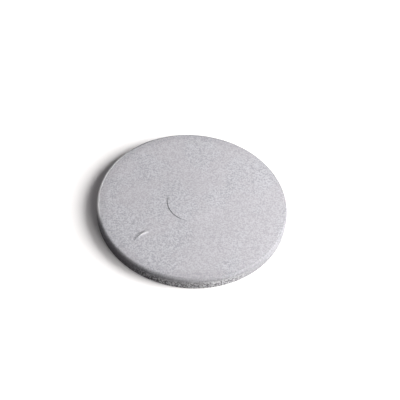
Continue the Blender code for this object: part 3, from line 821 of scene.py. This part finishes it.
def weight_finish():
    """Sintered tungsten alloy: matt, finely granular, with a few burnished rub marks."""
    f = Finish("weight_finish", 0.45, 0.45)
    grains = f.cells(0.06)
    cloud = f.noise(0.7, 4.0, 0.6)
    rub_wear_and_painted_light = f.spread(f.noise(0.25, 2.0, 0.6, f.stretched(0.2, 1, 1), 0.5), 0.62, 0.72)
    grey = f.tones(grains, (0.47, 0.47, 0.49), (0.34, 0.34, 0.36), 0.0, 0.7)
    grey = f.tones(cloud, grey, (0.33, 0.32, 0.33), 0.4, 0.7, 0.4)
    f.colour(f.blend(f.times(rub_wear_and_painted_light, 0.4), grey, (0.55, 0.55, 0.57)))
    f.roughness(f.maths("SUBTRACT", f.spread(grains, 0.0, 0.7, 0.40, 0.52), f.times(rub_wear_and_painted_light, 0.14)))
    f.bump(cloud, 0.006, 0.6, f.bump(grains, -0.006, 0.8))
    return f.material


def resin_finish():
    """Black moulding resin: a fine sparked texture and faint grey flow marks."""
    f = Finish("resin_finish", 0.5)
    spark = f.noise(0.07, 3.0, 0.65)
    flow = f.noise(1.6, 3.0, 0.6, f.stretched(0.5, 1, 1), 1.2)
    black = f.tones(spark, (0.036, 0.036, 0.040), (0.062, 0.062, 0.068))
    f.colour(f.tones(flow, black, (0.085, 0.083, 0.082), 0.50, 0.70, 0.5))
    f.roughness(flow, 0.3, 0.7, 0.42, 0.58)
    f.bump(spark, 0.006, 0.8)
    return f.material


def floor_finish():
    """The plain pale floor."""
    f = Finish("floor_finish", 0.9)
    f.colour(f.blend(f.noise(8.0, 2.0), (0.93, 0.925, 0.925), (0.95, 0.945, 0.945)))
    f.socket("Specular IOR Level", 0.0)
    f.socket("Emission Strength", f.spread(f.radius(), 22.0, 80.0, 0.0, 0.7))
    f.socket("Emission Color", (1.0, 1.0, 1.0))
    return f.material


# ---- shapes, in millimetres ----


def on_circle(radius, angle):
    """The point at an angle on a circle about the origin."""
    return (radius * math.cos(angle), radius * math.sin(angle))


def coil_place(side):
    """A coil's centre. The left coil has side -1."""
    return (side * COIL_DISTANCE * math.sin(COIL_BEARING), COIL_DISTANCE * math.cos(COIL_BEARING))


def arc(centre, radius, start, end, steps):
    """Points along an arc, both ends included."""
    turn = (end - start) / steps
    return [
        (centre[0] + radius * math.cos(start + turn * i), centre[1] + radius * math.sin(start + turn * i))
        for i in range(steps + 1)
    ]


def even_angles(count):
    """Angles evenly round a whole turn."""
    return [math.tau * i / count for i in range(count)]


def fine_range(low, high, coarse, fine_low, fine_high, fine):
    """Numbers from low to high, closer together within the fine part."""
    numbers = [low]
    while numbers[-1] < high - 1e-9:
        step = fine if fine_low <= numbers[-1] < fine_high else coarse
        numbers.append(min(high, numbers[-1] + step))
    return numbers


def turned(profile, angles, centre=(0, 0), warp=None):
    """A closed outline of (radius, height) points turned about an upright axis. A zero radius is the axis.

    angles is a list, or a count of even steps. warp(radius, height, angle) may move a point.
    """
    if isinstance(angles, int):
        angles = even_angles(angles)
    bm = bmesh.new()
    rings = []
    for radius, height in profile:
        if radius == 0:
            rings.append([bm.verts.new((*centre, height))] * len(angles))
            continue
        ring = []
        for angle in angles:
            out, up = warp(radius, height, angle) if warp else (radius, height)
            x, y = on_circle(out, angle)
            ring.append(bm.verts.new((centre[0] + x, centre[1] + y, up)))
        rings.append(ring)
    for near, far in zip(rings, rings[1:] + rings[:1]):
        for i in range(len(angles)):
            j = (i + 1) % len(angles)
            corners = list(dict.fromkeys((near[i], far[i], far[j], near[j])))
            if len(corners) > 2:
                bm.faces.new(corners)
    return bm


def round_edged(inner, outer, bottom, top, edge, steps=4):
    """The section of a ring with rounded edges."""
    quarter = math.pi / 2
    return (
        arc((outer - edge, bottom + edge), edge, -quarter, 0, steps)
        + arc((outer - edge, top - edge), edge, 0, quarter, steps)
        + arc((inner + edge, top - edge), edge, quarter, 2 * quarter, steps)
        + arc((inner + edge, bottom + edge), edge, 2 * quarter, 3 * quarter, steps)
    )


def inset(outline, distance):
    """An outline moved inwards by a short distance. It runs anticlockwise."""
    moved = []
    for before, here, after in zip(outline[-1:] + outline[:-1], outline, outline[1:] + outline[:1]):
        along_in = (Vector(here) - Vector(before)).normalized()
        along_out = (Vector(after) - Vector(here)).normalized()
        inward = Vector((-along_in.y - along_out.y, along_in.x + along_out.x))
        shift = inward * (distance / (1 + along_in.dot(along_out)))
        moved.append((here[0] + shift.x, here[1] + shift.y))
    return moved


def stacked(outline, levels):
    """An outline carried up through (height, inset) levels and closed at both ends."""
    bm = bmesh.new()
    rings = []
    for height, distance in levels:
        corners = inset(outline, distance) if distance else outline
        rings.append([bm.verts.new((x, y, height)) for x, y in corners])
    for near, far in zip(rings, rings[1:]):
        for i in range(len(outline)):
            j = (i + 1) % len(outline)
            bm.faces.new((near[i], near[j], far[j], far[i]))
    bm.faces.new(rings[0][::-1])
    bm.faces.new(rings[-1])
    return bm


def soft_slab(outline, bottom, top, edge):
    """An outline as a slab whose edges are rounded."""
    knee = edge * (1 - math.sqrt(0.5))
    return stacked(outline, [
        (bottom, edge), (bottom + knee, knee), (bottom + edge, 0),
        (top - edge, 0), (top - knee, knee), (top, edge),
    ])


def rounded_box(centre, length, width, corner, steps=6):
    """A rectangle's outline with rounded corners, anticlockwise."""
    half_x = length / 2 - corner
    half_y = width / 2 - corner
    outline = []
    for turn, (sign_x, sign_y) in enumerate(((1, 1), (-1, 1), (-1, -1), (1, -1))):
        middle = (centre[0] + sign_x * half_x, centre[1] + sign_y * half_y)
        outline += arc(middle, corner, turn * math.pi / 2, (turn + 1) * math.pi / 2, steps)
    return outline


def divided(outline, longest):
    """An outline with its long straight parts divided."""
    points = []
    for here, after in zip(outline, outline[1:] + outline[:1]):
        parts = max(1, math.ceil(math.dist(here, after) / longest))
        points += [
            (here[0] + (after[0] - here[0]) * i / parts, here[1] + (after[1] - here[1]) * i / parts)
            for i in range(parts)
        ]
    return points


def sector(inner, outer, middle, spread, corner):
    """A sector of a ring with rounded corners, anticlockwise."""
    mean = (inner + outer) / 2
    flat = rounded_box((0, mean), spread * mean, outer - inner, corner)
    return [on_circle(y, middle - x / mean) for x, y in divided(flat, 0.15)]


def half_moon():
    """The rotor's outline: a half disc cut straight below the axis, with a round hub."""
    cut = math.asin(ROTOR_CUT_Y / ROTOR_RADIUS)
    hub_cut = math.asin(ROTOR_CUT_Y / ROTOR_HUB_RADIUS)
    rim = arc((0, 0), ROTOR_RADIUS, cut, math.pi - cut, 110)
    hub = arc((0, 0), ROTOR_HUB_RADIUS, -math.pi - hub_cut, hub_cut, 40)
    return rim + hub


def whole_circle(radius, centre=(0, 0), steps=ROUND_STEPS):
    """A circle's outline, anticlockwise."""
    return [(centre[0] + x, centre[1] + y) for x, y in (on_circle(radius, a) for a in even_angles(steps))]


def cutter(outline, bottom, top):
    """An outline as a block that reaches past both a bottom and a top."""
    return stacked(outline, [(bottom - CUT_MARGIN, 0), (top + CUT_MARGIN, 0)])


# ---- making pieces ----


def mesh_of(name, shape):
    """A mesh from a shape, still in millimetres."""
    bmesh.ops.recalc_face_normals(shape, faces=shape.faces)
    mesh = bpy.data.meshes.new(name)
    shape.to_mesh(mesh)
    shape.free()
    return mesh


def carved(shape, cutters=(), joined=()):
    """A shape with others joined to it and others cut from it."""
    body = add_object("body", mesh_of("body", shape))
    tools = []
    for operation, others in (("UNION", joined), ("DIFFERENCE", cutters)):
        for other in others:
            tool = add_object("tool", mesh_of("tool", other))
            step = body.modifiers.new(operation, "BOOLEAN")
            step.operation = operation
            step.solver = "EXACT"
            step.object = tool
            tools.append(tool)
    bpy.context.view_layer.update()
    result = bmesh.new()
    result.from_object(body, bpy.context.evaluated_depsgraph_get())
    for item in [body] + tools:
        bpy.data.objects.remove(item, do_unlink=True)
    return result


def add_piece(name, shape, material):
    """A shape as an object in the row frame, in metres, smooth where it is round."""
    mesh = mesh_of(name, shape)
    mesh.transform(Matrix.Scale(MM, 4))
    mesh.shade_smooth()
    mesh.set_sharp_from_angle(angle=SMOOTH_ANGLE)
    mesh.materials.append(material)
    return add_object(name, mesh)


def fit(name, shape, material, body, node):
    """Put a shape in the motor as a piece that rides on a body and stands for a CAD node."""
    made = add_piece(name, shape, material)
    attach(made, body)
    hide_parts(node)


# ---- the cover ----


def ridge_lift(x, y):
    """How much a place on the cover is raised by the bent ridge, or sunk by the shallow nick beside it."""
    middle = on_circle(RIDGE_DISTANCE, RIDGE_BEARING)
    bend = on_circle(RIDGE_ARC_RADIUS, RIDGE_FACING)
    off_x = x - (middle[0] - bend[0])
    off_y = y - (middle[1] - bend[1])
    across = math.hypot(off_x, off_y) - RIDGE_ARC_RADIUS
    turn = math.atan2(off_y, off_x) - RIDGE_FACING
    turn = (turn + math.pi) % math.tau - math.pi
    if abs(across) > 1:
        return 0.0
    behind = turn - NICK_SHIFT
    raised = math.cos(math.pi * turn / RIDGE_SWEEP) ** RIDGE_FULLNESS if abs(turn) < RIDGE_SWEEP / 2 else 0.0
    sunk = math.cos(math.pi * behind / NICK_SWEEP) if abs(behind) < NICK_SWEEP / 2 else 0.0
    ridge = raised * RIDGE_RISE * math.exp(-((across / RIDGE_HALF_WIDTH) ** 2))
    nick = sunk * NICK_DEPTH * math.exp(-(((across - NICK_OFFSET) / NICK_HALF_WIDTH) ** 2))
    return ridge - nick


def boss_softness(angle):
    """How many times wider than its crisp part the boss's step is at an angle."""
    off = abs((angle - BOSS_CRISP_BEARING + math.pi) % math.tau - math.pi)
    share = min(1.0, max(0.0, off / BOSS_CRISP_SPREAD - BOSS_CRISP_SHARE) / (1 - BOSS_CRISP_SHARE))
    share = share * share * (3 - 2 * share)
    return 1 + (BOSS_SOFT_STEP / BOSS_STEP - 1) * share


def cover_profile():
    """The drawn cover's section in millimetres, from the axis over the top, down the wall and back inside."""
    face = FACE_HEIGHT / MM
    boss = BOSS_HEIGHT / MM
    radius = CASE_RADIUS / MM
    rim = RIM_HEIGHT / MM
    rise = boss - face
    bend = (radius - SHOULDER_RADIUS, face - SHOULDER_RADIUS)
    outside = [(0, boss)] + [(r, boss) for r in BOSS_TOP_RADII]
    for i in range(-1, BOSS_RINGS + 2):
        share = min(1, max(0, i / BOSS_RINGS))
        up = rise / 2 * (1 + math.cos(math.pi * share))
        outside.append((BOSS_RADIUS + BOSS_STEP * (2 * i / BOSS_RINGS - 1), face + up))
    coarse, fine = RING_STEPS
    flat = fine_range(BOSS_RADIUS + BOSS_CLEAR, bend[0] - 0.05, coarse, *RIDGE_ZONE, fine)
    outside += [(r, face) for r in flat]
    outside += arc(bend, SHOULDER_RADIUS, math.pi / 2, 0, 10)
    outside += [(radius, up) for up in WALL_HEIGHTS]
    outside += arc((radius - RIM_BREAK, rim + RIM_BREAK), RIM_BREAK, 0, -math.pi / 2, 4)
    inner = radius - SHEET
    inside = [(inner + INNER_RIM_BREAK, rim), (inner, rim + INNER_RIM_BREAK), (inner, 0.6)]
    inside += arc(bend, SHOULDER_RADIUS - SHEET, 0, math.pi / 2, 6)
    inside += [(6.0, face - SHEET), (BOSS_RADIUS - SHEET + rise, face - SHEET)]
    inside += [(BOSS_RADIUS - SHEET, boss - SHEET), (0, boss - SHEET)]
    return outside + inside


def cover_angles():
    """Angles round the cover, closer together where the ridge is."""
    low = RIDGE_BEARING - RIDGE_ZONE_ANGLE
    high = RIDGE_BEARING + RIDGE_ZONE_ANGLE
    coarse, fine = SPOKE_STEPS
    return fine_range(-math.pi, math.pi, coarse, low, high, fine)[:-1]


def make_cover():
    """The whole drawn cover as one sheet."""
    face = FACE_HEIGHT / MM

    def warp(radius, height, angle):
        off = radius - BOSS_RADIUS
        if height > face - 1e-6 and abs(off) < 2 * BOSS_STEP:
            return BOSS_RADIUS + off * boss_softness(angle), height
        if abs(height - face) > 1e-6 or not 5 < radius < 8:
            return radius, height
        return radius, height + ridge_lift(*on_circle(radius, angle))

    shape = turned(cover_profile(), cover_angles(), warp=warp)
    fit("cover", shape, cover_finish(), "housing", "top_cover")


# ---- underneath ----


def make_plate():
    """The plate that closes the cup, drawn up into a hub round the shaft, with the slot for the circuit."""
    quarter = math.pi / 2
    edge = 0.03
    lip = 0.02
    entry = (BORE_RADIUS + BORE_ENTRY, PLATE_BOTTOM + BORE_ENTRY)
    profile = arc(entry, BORE_ENTRY, -2 * quarter, -quarter, 6)
    profile += arc((PLATE_RADIUS - edge, PLATE_BOTTOM + edge), edge, -quarter, 0, 4)
    profile += arc((PLATE_RADIUS - edge, PLATE_TOP - edge), edge, 0, quarter, 4)
    profile += arc((HUB_RADIUS + HUB_FILLET, PLATE_TOP + HUB_FILLET), HUB_FILLET, -quarter, -2 * quarter, 6)
    profile += arc((HUB_RADIUS - HUB_TAPER - lip, HUB_TOP - lip), lip, 0, quarter, 3)
    profile += arc((BORE_RADIUS + lip, HUB_TOP - lip), lip, quarter, 2 * quarter, 3)
    outline = rounded_box((SLOT_MIDDLE_X, 0), SLOT_LENGTH, SLOT_WIDTH, SLOT_CORNER)
    slot = cutter(outline, PLATE_BOTTOM, PLATE_TOP)
    plate = carved(turned(profile, ROUND_STEPS), cutters=[slot])
    fit("plate", plate, plate_finish(), "housing", "base_plate")


def bead(radius, base, height, place, seed, crater=0.0):
    """A solder or weld bead, a little out of round, with a spread foot. A negative height hangs."""

    def warp(out, up, angle):
        return out * (1 + 0.035 * math.sin(2 * angle + seed) + 0.025 * math.sin(5 * angle + 3 * seed)), up

    profile = [(0, base), (radius, base)]
    for i in range(1, BEAD_RINGS + 1):
        share = 1 - i / BEAD_RINGS
        dome = (1 - share ** 2.2) ** 0.8
        sunk = crater * math.exp(-((share / 0.28) ** 2))
        profile.append((radius * share, base + height * (dome - sunk)))
    return turned(profile, BEAD_STEPS, place, warp)


def make_welds():
    """The four beads that join the cover's rim to the plate."""
    material = weld_finish()
    for i in range(4):
        place = on_circle(WELD_DISTANCE, math.radians(45 + 90 * i))
        shape = bead(WELD_RADIUS * WELD_FIT, WELD_BASE, -WELD_HEIGHT, place, 1.3 + i, crater=0.35)
        fit(f"weld_{i + 1}", shape, material, "housing", f"weld_spot_{i + 1}")


def make_tape():
    """The die-cut adhesive disc, open round the folded tail."""
    disc = soft_slab(whole_circle(ADHESIVE_RADIUS), 0, ADHESIVE_TOP, 0.02)
    length = ADHESIVE_RADIUS + WINDOW_INNER_X + 2
    middle = WINDOW_INNER_X - length / 2
    outline = rounded_box((middle, 0), length, WINDOW_WIDTH, WINDOW_CORNER)
    window = cutter(outline, 0, ADHESIVE_TOP)
    fit("tape", carved(disc, cutters=[window]), tape_finish(), "housing", "mounting_adhesive")


def tail_section():
    """The tail seen from its side: out over the plate, down through the slot and back underneath."""
    outer = TAIL_BEND + TAIL_THICKNESS
    upper = (TAIL_FOLD_X + TAIL_BEND, TAIL_TOP - outer)
    lower = (TAIL_FOLD_X + TAIL_BEND, TAIL_LOW + outer)
    top = math.pi / 2
    side = math.pi
    low = math.pi * 1.5
    outside = arc(upper, outer, top, side, 10) + arc(lower, outer, side, low, 10)
    inside = arc(lower, TAIL_BEND, low, side, 10) + arc(upper, TAIL_BEND, side, top, 10)
    far = [(TAIL_END_X, TAIL_LOW), (TAIL_END_X, TAIL_LOW + TAIL_THICKNESS)]
    near = [(TAIL_START_X, TAIL_TOP - TAIL_THICKNESS), (TAIL_START_X, TAIL_TOP)]
    return outside + far + inside + near


def make_circuit():
    """The ring of flexible circuit with its folded tail."""
    edge = 0.008
    section = round_edged(*FLEX_RING, edge, 2)
    ring = turned(section, ROUND_STEPS)
    half = TAIL_WIDTH / 2
    tail = stacked(tail_section(), [(-half, edge), (-half + edge, 0), (half - edge, 0), (half, edge)])
    bmesh.ops.transform(tail, matrix=Matrix.Rotation(math.pi / 2, 4, "X"), verts=tail.verts)
    fit("circuit", carved(ring, joined=[tail]), flex_finish(), "housing", "flex_circuit")


def make_pads():
    """The two gold contact pads under the motor."""
    material = pad_finish()
    for pole, side in POLES:
        outline = rounded_box((PAD_MIDDLE_X, side * PAD_MIDDLE_Y), PAD_LENGTH, PAD_WIDTH, PAD_CORNER)
        shape = soft_slab(outline, *PAD_LEVELS, 0.005)
        fit(f"pad_{pole}", shape, material, "housing", f"contact_pad_{pole}")


# ---- the still works inside ----


def make_shaft():
    """The fixed shaft and the slip washer at each end of the bearing."""
    edge = SHAFT_CHAMFER
    profile = [(0, PLATE_BOTTOM)]
    profile += arc((SHAFT_RADIUS - edge, PLATE_BOTTOM + edge), edge, -math.pi / 2, 0, 5)
    profile += arc((SHAFT_RADIUS - edge, SHAFT_TOP - edge), edge, 0, math.pi / 2, 5)
    profile += [(0, SHAFT_TOP)]
    fit("shaft_pin", turned(profile, SMALL_STEPS), shaft_finish(), "housing", "shaft")
    material = washer_finish()
    for name, bottom in WASHER_BOTTOMS.items():
        section = round_edged(BORE_RADIUS, WASHER_RADIUS, bottom, bottom + WASHER_THICKNESS, 0.008, 3)
        fit(name + "_film", turned(section, SMALL_STEPS), material, "housing", name)


def make_magnet():
    """The ring magnet on its ring of glue, which is squeezed out a little unevenly."""

    def spread_out(radius, height, angle):
        wave = 0.035 * math.sin(5 * angle + 0.7) + 0.02 * math.sin(13 * angle + 2.1)
        return radius + wave, height

    glue = round_edged(*GLUE_RING, 0.012, 3)
    shape = turned(glue, ROUND_STEPS, warp=spread_out)
    fit("magnet_glue", shape, epoxy_finish(), "housing", "magnet_adhesive")
    ring = round_edged(*MAGNET_RING, 0.06, 5)
    fit("magnet", turned(ring, ROUND_STEPS), magnet_finish(), "housing", "ring_magnet")


def brush_height(x):
    """The middle of the leaf at a place along it: flat on its foot, a smooth rise, a dipped tip."""
    if x <= BRUSH_RISE_X:
        return BRUSH_LOW
    if x <= BRUSH_CONTACT_X:
        along = (x - BRUSH_RISE_X) / (BRUSH_CONTACT_X - BRUSH_RISE_X)
        return BRUSH_LOW + (BRUSH_HIGH - BRUSH_LOW) * math.sin(0.5 * math.pi * along)
    past = (x - BRUSH_CONTACT_X) / (BRUSH_TIP_X - BRUSH_CONTACT_X)
    return BRUSH_HIGH - BRUSH_TIP_DIP * past * past


def leaf_sheet(lane):
    """The forked leaf as an open grid of faces, with rounded finger tips and foot corners."""
    half = BRUSH_WIDTH / 2
    gap = FORK_GAP / 2
    tip = (half - gap) / 2
    one_side = [gap, gap + 0.03, gap + 0.12, half - 0.05, half]
    columns = [-y for y in reversed(one_side)] + one_side
    stations = fine_range(BRUSH_FOOT_X, BRUSH_TIP_X, 0.05, BRUSH_TIP_X - 0.15, BRUSH_TIP_X, 0.0125)
    corner = 0.10
    bm = bmesh.new()
    grid = []
    for x in stations:
        row = []
        past = max(0.0, x - (BRUSH_TIP_X - tip)) / tip
        narrow = math.sqrt(max(0.0004, 1 - past * past))
        foot = min(1.0, max(0.0, (BRUSH_FOOT_X + corner - x) / corner))
        cut = corner * (1 - math.sqrt(1 - foot * foot)) * 0.9
        for y in columns:
            middle = math.copysign((half + gap) / 2, y)
            shaped = middle + (y - middle) * narrow
            shaped -= math.copysign(cut, y) * (abs(y) - gap) / (half - gap)
            row.append(bm.verts.new((x, lane + shaped, brush_height(x))))
        grid.append(row)
    for i in range(len(stations) - 1):
        for k in range(len(columns) - 1):
            if k == 4 and stations[i] >= BRUSH_FORK_X - 1e-6:
                continue
            bm.faces.new((grid[i][k], grid[i + 1][k], grid[i + 1][k + 1], grid[i][k + 1]))
    return bm


def thickened(sheet, thickness):
    """An open sheet given thickness evenly on both sides."""
    bmesh.ops.recalc_face_normals(sheet, faces=sheet.faces)
    sheet.normal_update()
    lower = {vert: vert.co - vert.normal * (thickness / 2) for vert in sheet.verts}
    upper = {vert: vert.co + vert.normal * (thickness / 2) for vert in sheet.verts}
    bm = bmesh.new()
    under = {vert: bm.verts.new(place) for vert, place in lower.items()}
    over = {vert: bm.verts.new(place) for vert, place in upper.items()}
    for face in sheet.faces:
        bm.faces.new([over[vert] for vert in face.verts])
        bm.faces.new([under[vert] for vert in reversed(face.verts)])
    for edge in sheet.edges:
        if edge.is_boundary:
            a, b = edge.verts
            bm.faces.new((over[a], over[b], under[b], under[a]))
    sheet.free()
    return bm


def make_brushes():
    """The two forked leaf brushes and the solder on their feet."""
    copper = brush_finish()
    solder = solder_finish()
    for pole, side in POLES:
        lane = side * BRUSH_LANE
        leaf = thickened(leaf_sheet(lane), BRUSH_THICKNESS)
        fit(f"leaf_{pole}", leaf, copper, "housing", f"brush_{pole}")
        place = (BRUSH_SOLDER_X, lane)
        radius = BRUSH_SOLDER_RADIUS * SOLDER_FIT
        joint = bead(radius, BRUSH_SOLDER_BASE, BRUSH_SOLDER_HEIGHT, place, 2.0 + side)
        fit(f"joint_{pole}", joint, solder, "housing", f"brush_solder_{pole}")


# ---- the rotor ----


def make_bearing():
    """The sleeve that turns on the shaft."""
    section = round_edged(BORE_RADIUS, BEARING_RADIUS, BEARING_BOTTOM, BEARING_TOP, 0.05, 4)
    fit("sleeve", turned(section, SMALL_STEPS), bearing_finish(), "rotor", "bearing")


def bore_cutter(bottom, top):
    """A round cutter for the bearing's seat."""
    return cutter(whole_circle(ROTOR_BORE_RADIUS, steps=SMALL_STEPS), bottom, top)


def make_board():
    """The thin half-moon board that carries the commutator underneath."""
    slab = soft_slab(half_moon(), *BOARD_LEVELS, 0.008)
    board = carved(slab, cutters=[bore_cutter(*BOARD_LEVELS)])
    fit("board", board, board_finish(), "rotor", "rotor_board")


def make_segments():
    """Six plated commutator segments under the board."""
    material = segment_finish()
    pitch = math.tau / SEGMENT_COUNT
    mean = sum(SEGMENT_RADII) / 2
    spread = pitch - SEGMENT_GAP / mean
    for i in range(SEGMENT_COUNT):
        outline = sector(*SEGMENT_RADII, pitch * i, spread, SEGMENT_CORNER)
        shape = soft_slab(outline, *SEGMENT_LEVELS, 0.006)
        fit(f"segment_{i + 1}", shape, material, "rotor", f"commutator_segment_{i + 1}")


def coil_section():
    """The section of a flat coil: every turn and every layer of wire shows as a small round."""
    pitch = (COIL_RADIUS - COIL_INNER_RADIUS) / COIL_TURNS
    depth = (COIL_TOP - COIL_BOTTOM) / COIL_LAYERS
    bulge = math.radians(66)
    lift = depth / 2 / math.sin(bulge)
    section = []
    for i in range(COIL_TURNS):
        middle = COIL_INNER_RADIUS + pitch * (i + 0.5)
        section += arc((middle, COIL_TOP - pitch / 2), pitch / 2, math.pi - 0.3, 0.3, 6)
    for k in range(COIL_LAYERS):
        middle = COIL_TOP - depth * (k + 0.5)
        section += arc((COIL_RADIUS - lift, middle), lift, bulge - 0.25, 0.25 - bulge, 4)
    section += [(COIL_RADIUS - pitch, COIL_BOTTOM), (COIL_INNER_RADIUS + pitch, COIL_BOTTOM)]
    for k in reversed(range(COIL_LAYERS)):
        middle = COIL_TOP - depth * (k + 0.5)
        start = math.pi + bulge - 0.25
        end = math.pi - bulge + 0.25
        section += arc((COIL_INNER_RADIUS + lift, middle), lift, start, end, 4)
    return section


def make_coils():
    """The two flat coils."""
    for name, side in (("coil_left", -1), ("coil_right", 1)):
        shape = turned(coil_section(), COIL_STEPS, coil_place(side))
        fit(name + "_winding", shape, coil_finish(side), "rotor", name)


def coil_room(radius, bottom, mouth=0.0):
    """Cutters for the room round both coils, each widened a little at its mouth."""
    levels = [(bottom, 0), (MOULDING_TOP - POCKET_MOUTH, 0), (MOULDING_TOP + CUT_MARGIN, -mouth)]
    return [stacked(whole_circle(radius, coil_place(side), COIL_STEPS), levels) for side in (-1, 1)]


def weight_outline(grow):
    """The counterweight's sector seen from above, before the coils' room is cut from it."""
    spread = WEIGHT_SPREAD + 2 * grow / WEIGHT_OUTER_RADIUS
    inner = WEIGHT_INNER_RADIUS - grow
    return sector(inner, WEIGHT_OUTER_RADIUS + grow, math.pi / 2, spread, 0.12 + grow)


def make_weight():
    """The heavy sector between the coils."""
    slab = soft_slab(weight_outline(0), WEIGHT_BOTTOM, WEIGHT_TOP, WEIGHT_EDGE)
    weight = carved(slab, cutters=coil_room(COIL_RADIUS + WEIGHT_COIL_CLEARANCE, POCKET_FLOOR - CUT_MARGIN))
    fit("weight", weight, weight_finish(), "rotor", "counterweight")


def make_moulding():
    """The resin that binds the rotor, open on top over the coils and the weight."""
    outline = weight_outline(POCKET_GAP)
    pocket = stacked(outline, [(POCKET_FLOOR, 0), (MOULDING_TOP + CUT_MARGIN, 0)])
    spare = coil_room(COIL_RADIUS + WEIGHT_COIL_CLEARANCE - POCKET_GAP, POCKET_FLOOR - CUT_MARGIN)
    pocket = carved(pocket, cutters=spare)
    inner = COIL_INNER_RADIUS - POCKET_GAP
    outer = COIL_RADIUS + POCKET_GAP
    mouth = MOULDING_TOP + CUT_MARGIN
    section = [(outer, POCKET_FLOOR), (outer, mouth), (inner, mouth), (inner, POCKET_FLOOR)]
    rooms = [turned(section, COIL_STEPS, coil_place(side)) for side in (-1, 1)]
    slab = soft_slab(half_moon(), MOULDING_BOTTOM, MOULDING_TOP, 0.03)
    moulding = carved(slab, cutters=[bore_cutter(MOULDING_BOTTOM, MOULDING_TOP), pocket] + rooms)
    fit("moulding", moulding, resin_finish(), "rotor", "rotor_moulding")


def make_coil_solder():
    """The beads under the board where the four coil ends are soldered."""
    material = solder_finish()
    for i, bearing in enumerate(COIL_SOLDER_BEARINGS):
        place = on_circle(COIL_SOLDER_DISTANCE, math.radians(bearing))
        radius = COIL_SOLDER_RADIUS * SOLDER_FIT
        shape = bead(radius, COIL_SOLDER_BASE, -COIL_SOLDER_HEIGHT, place, 0.4 + 1.7 * i)
        fit(f"coil_joint_{i + 1}", shape, material, "rotor", f"coil_solder_{i + 1}")


# ---- the whole picture ----


def make_floor():
    """A wide pale floor under the motor."""
    corners = [(x * FLOOR_HALF, y * FLOOR_HALF) for x, y in ((-1, -1), (1, -1), (1, 1), (-1, 1))]
    shape = bmesh.new()
    shape.faces.new([shape.verts.new((x, y, 0)) for x, y in corners])
    floor = add_piece("floor", shape, floor_finish())
    floor.visible_diffuse = False
    floor.visible_glossy = False


make_camera()
make_lights()
make_floor()
make_cover()
make_plate()
make_welds()
make_tape()
make_circuit()
make_pads()
make_shaft()
make_magnet()
make_brushes()
make_bearing()
make_board()
make_segments()
make_coils()
make_weight()
make_moulding()
make_coil_solder()
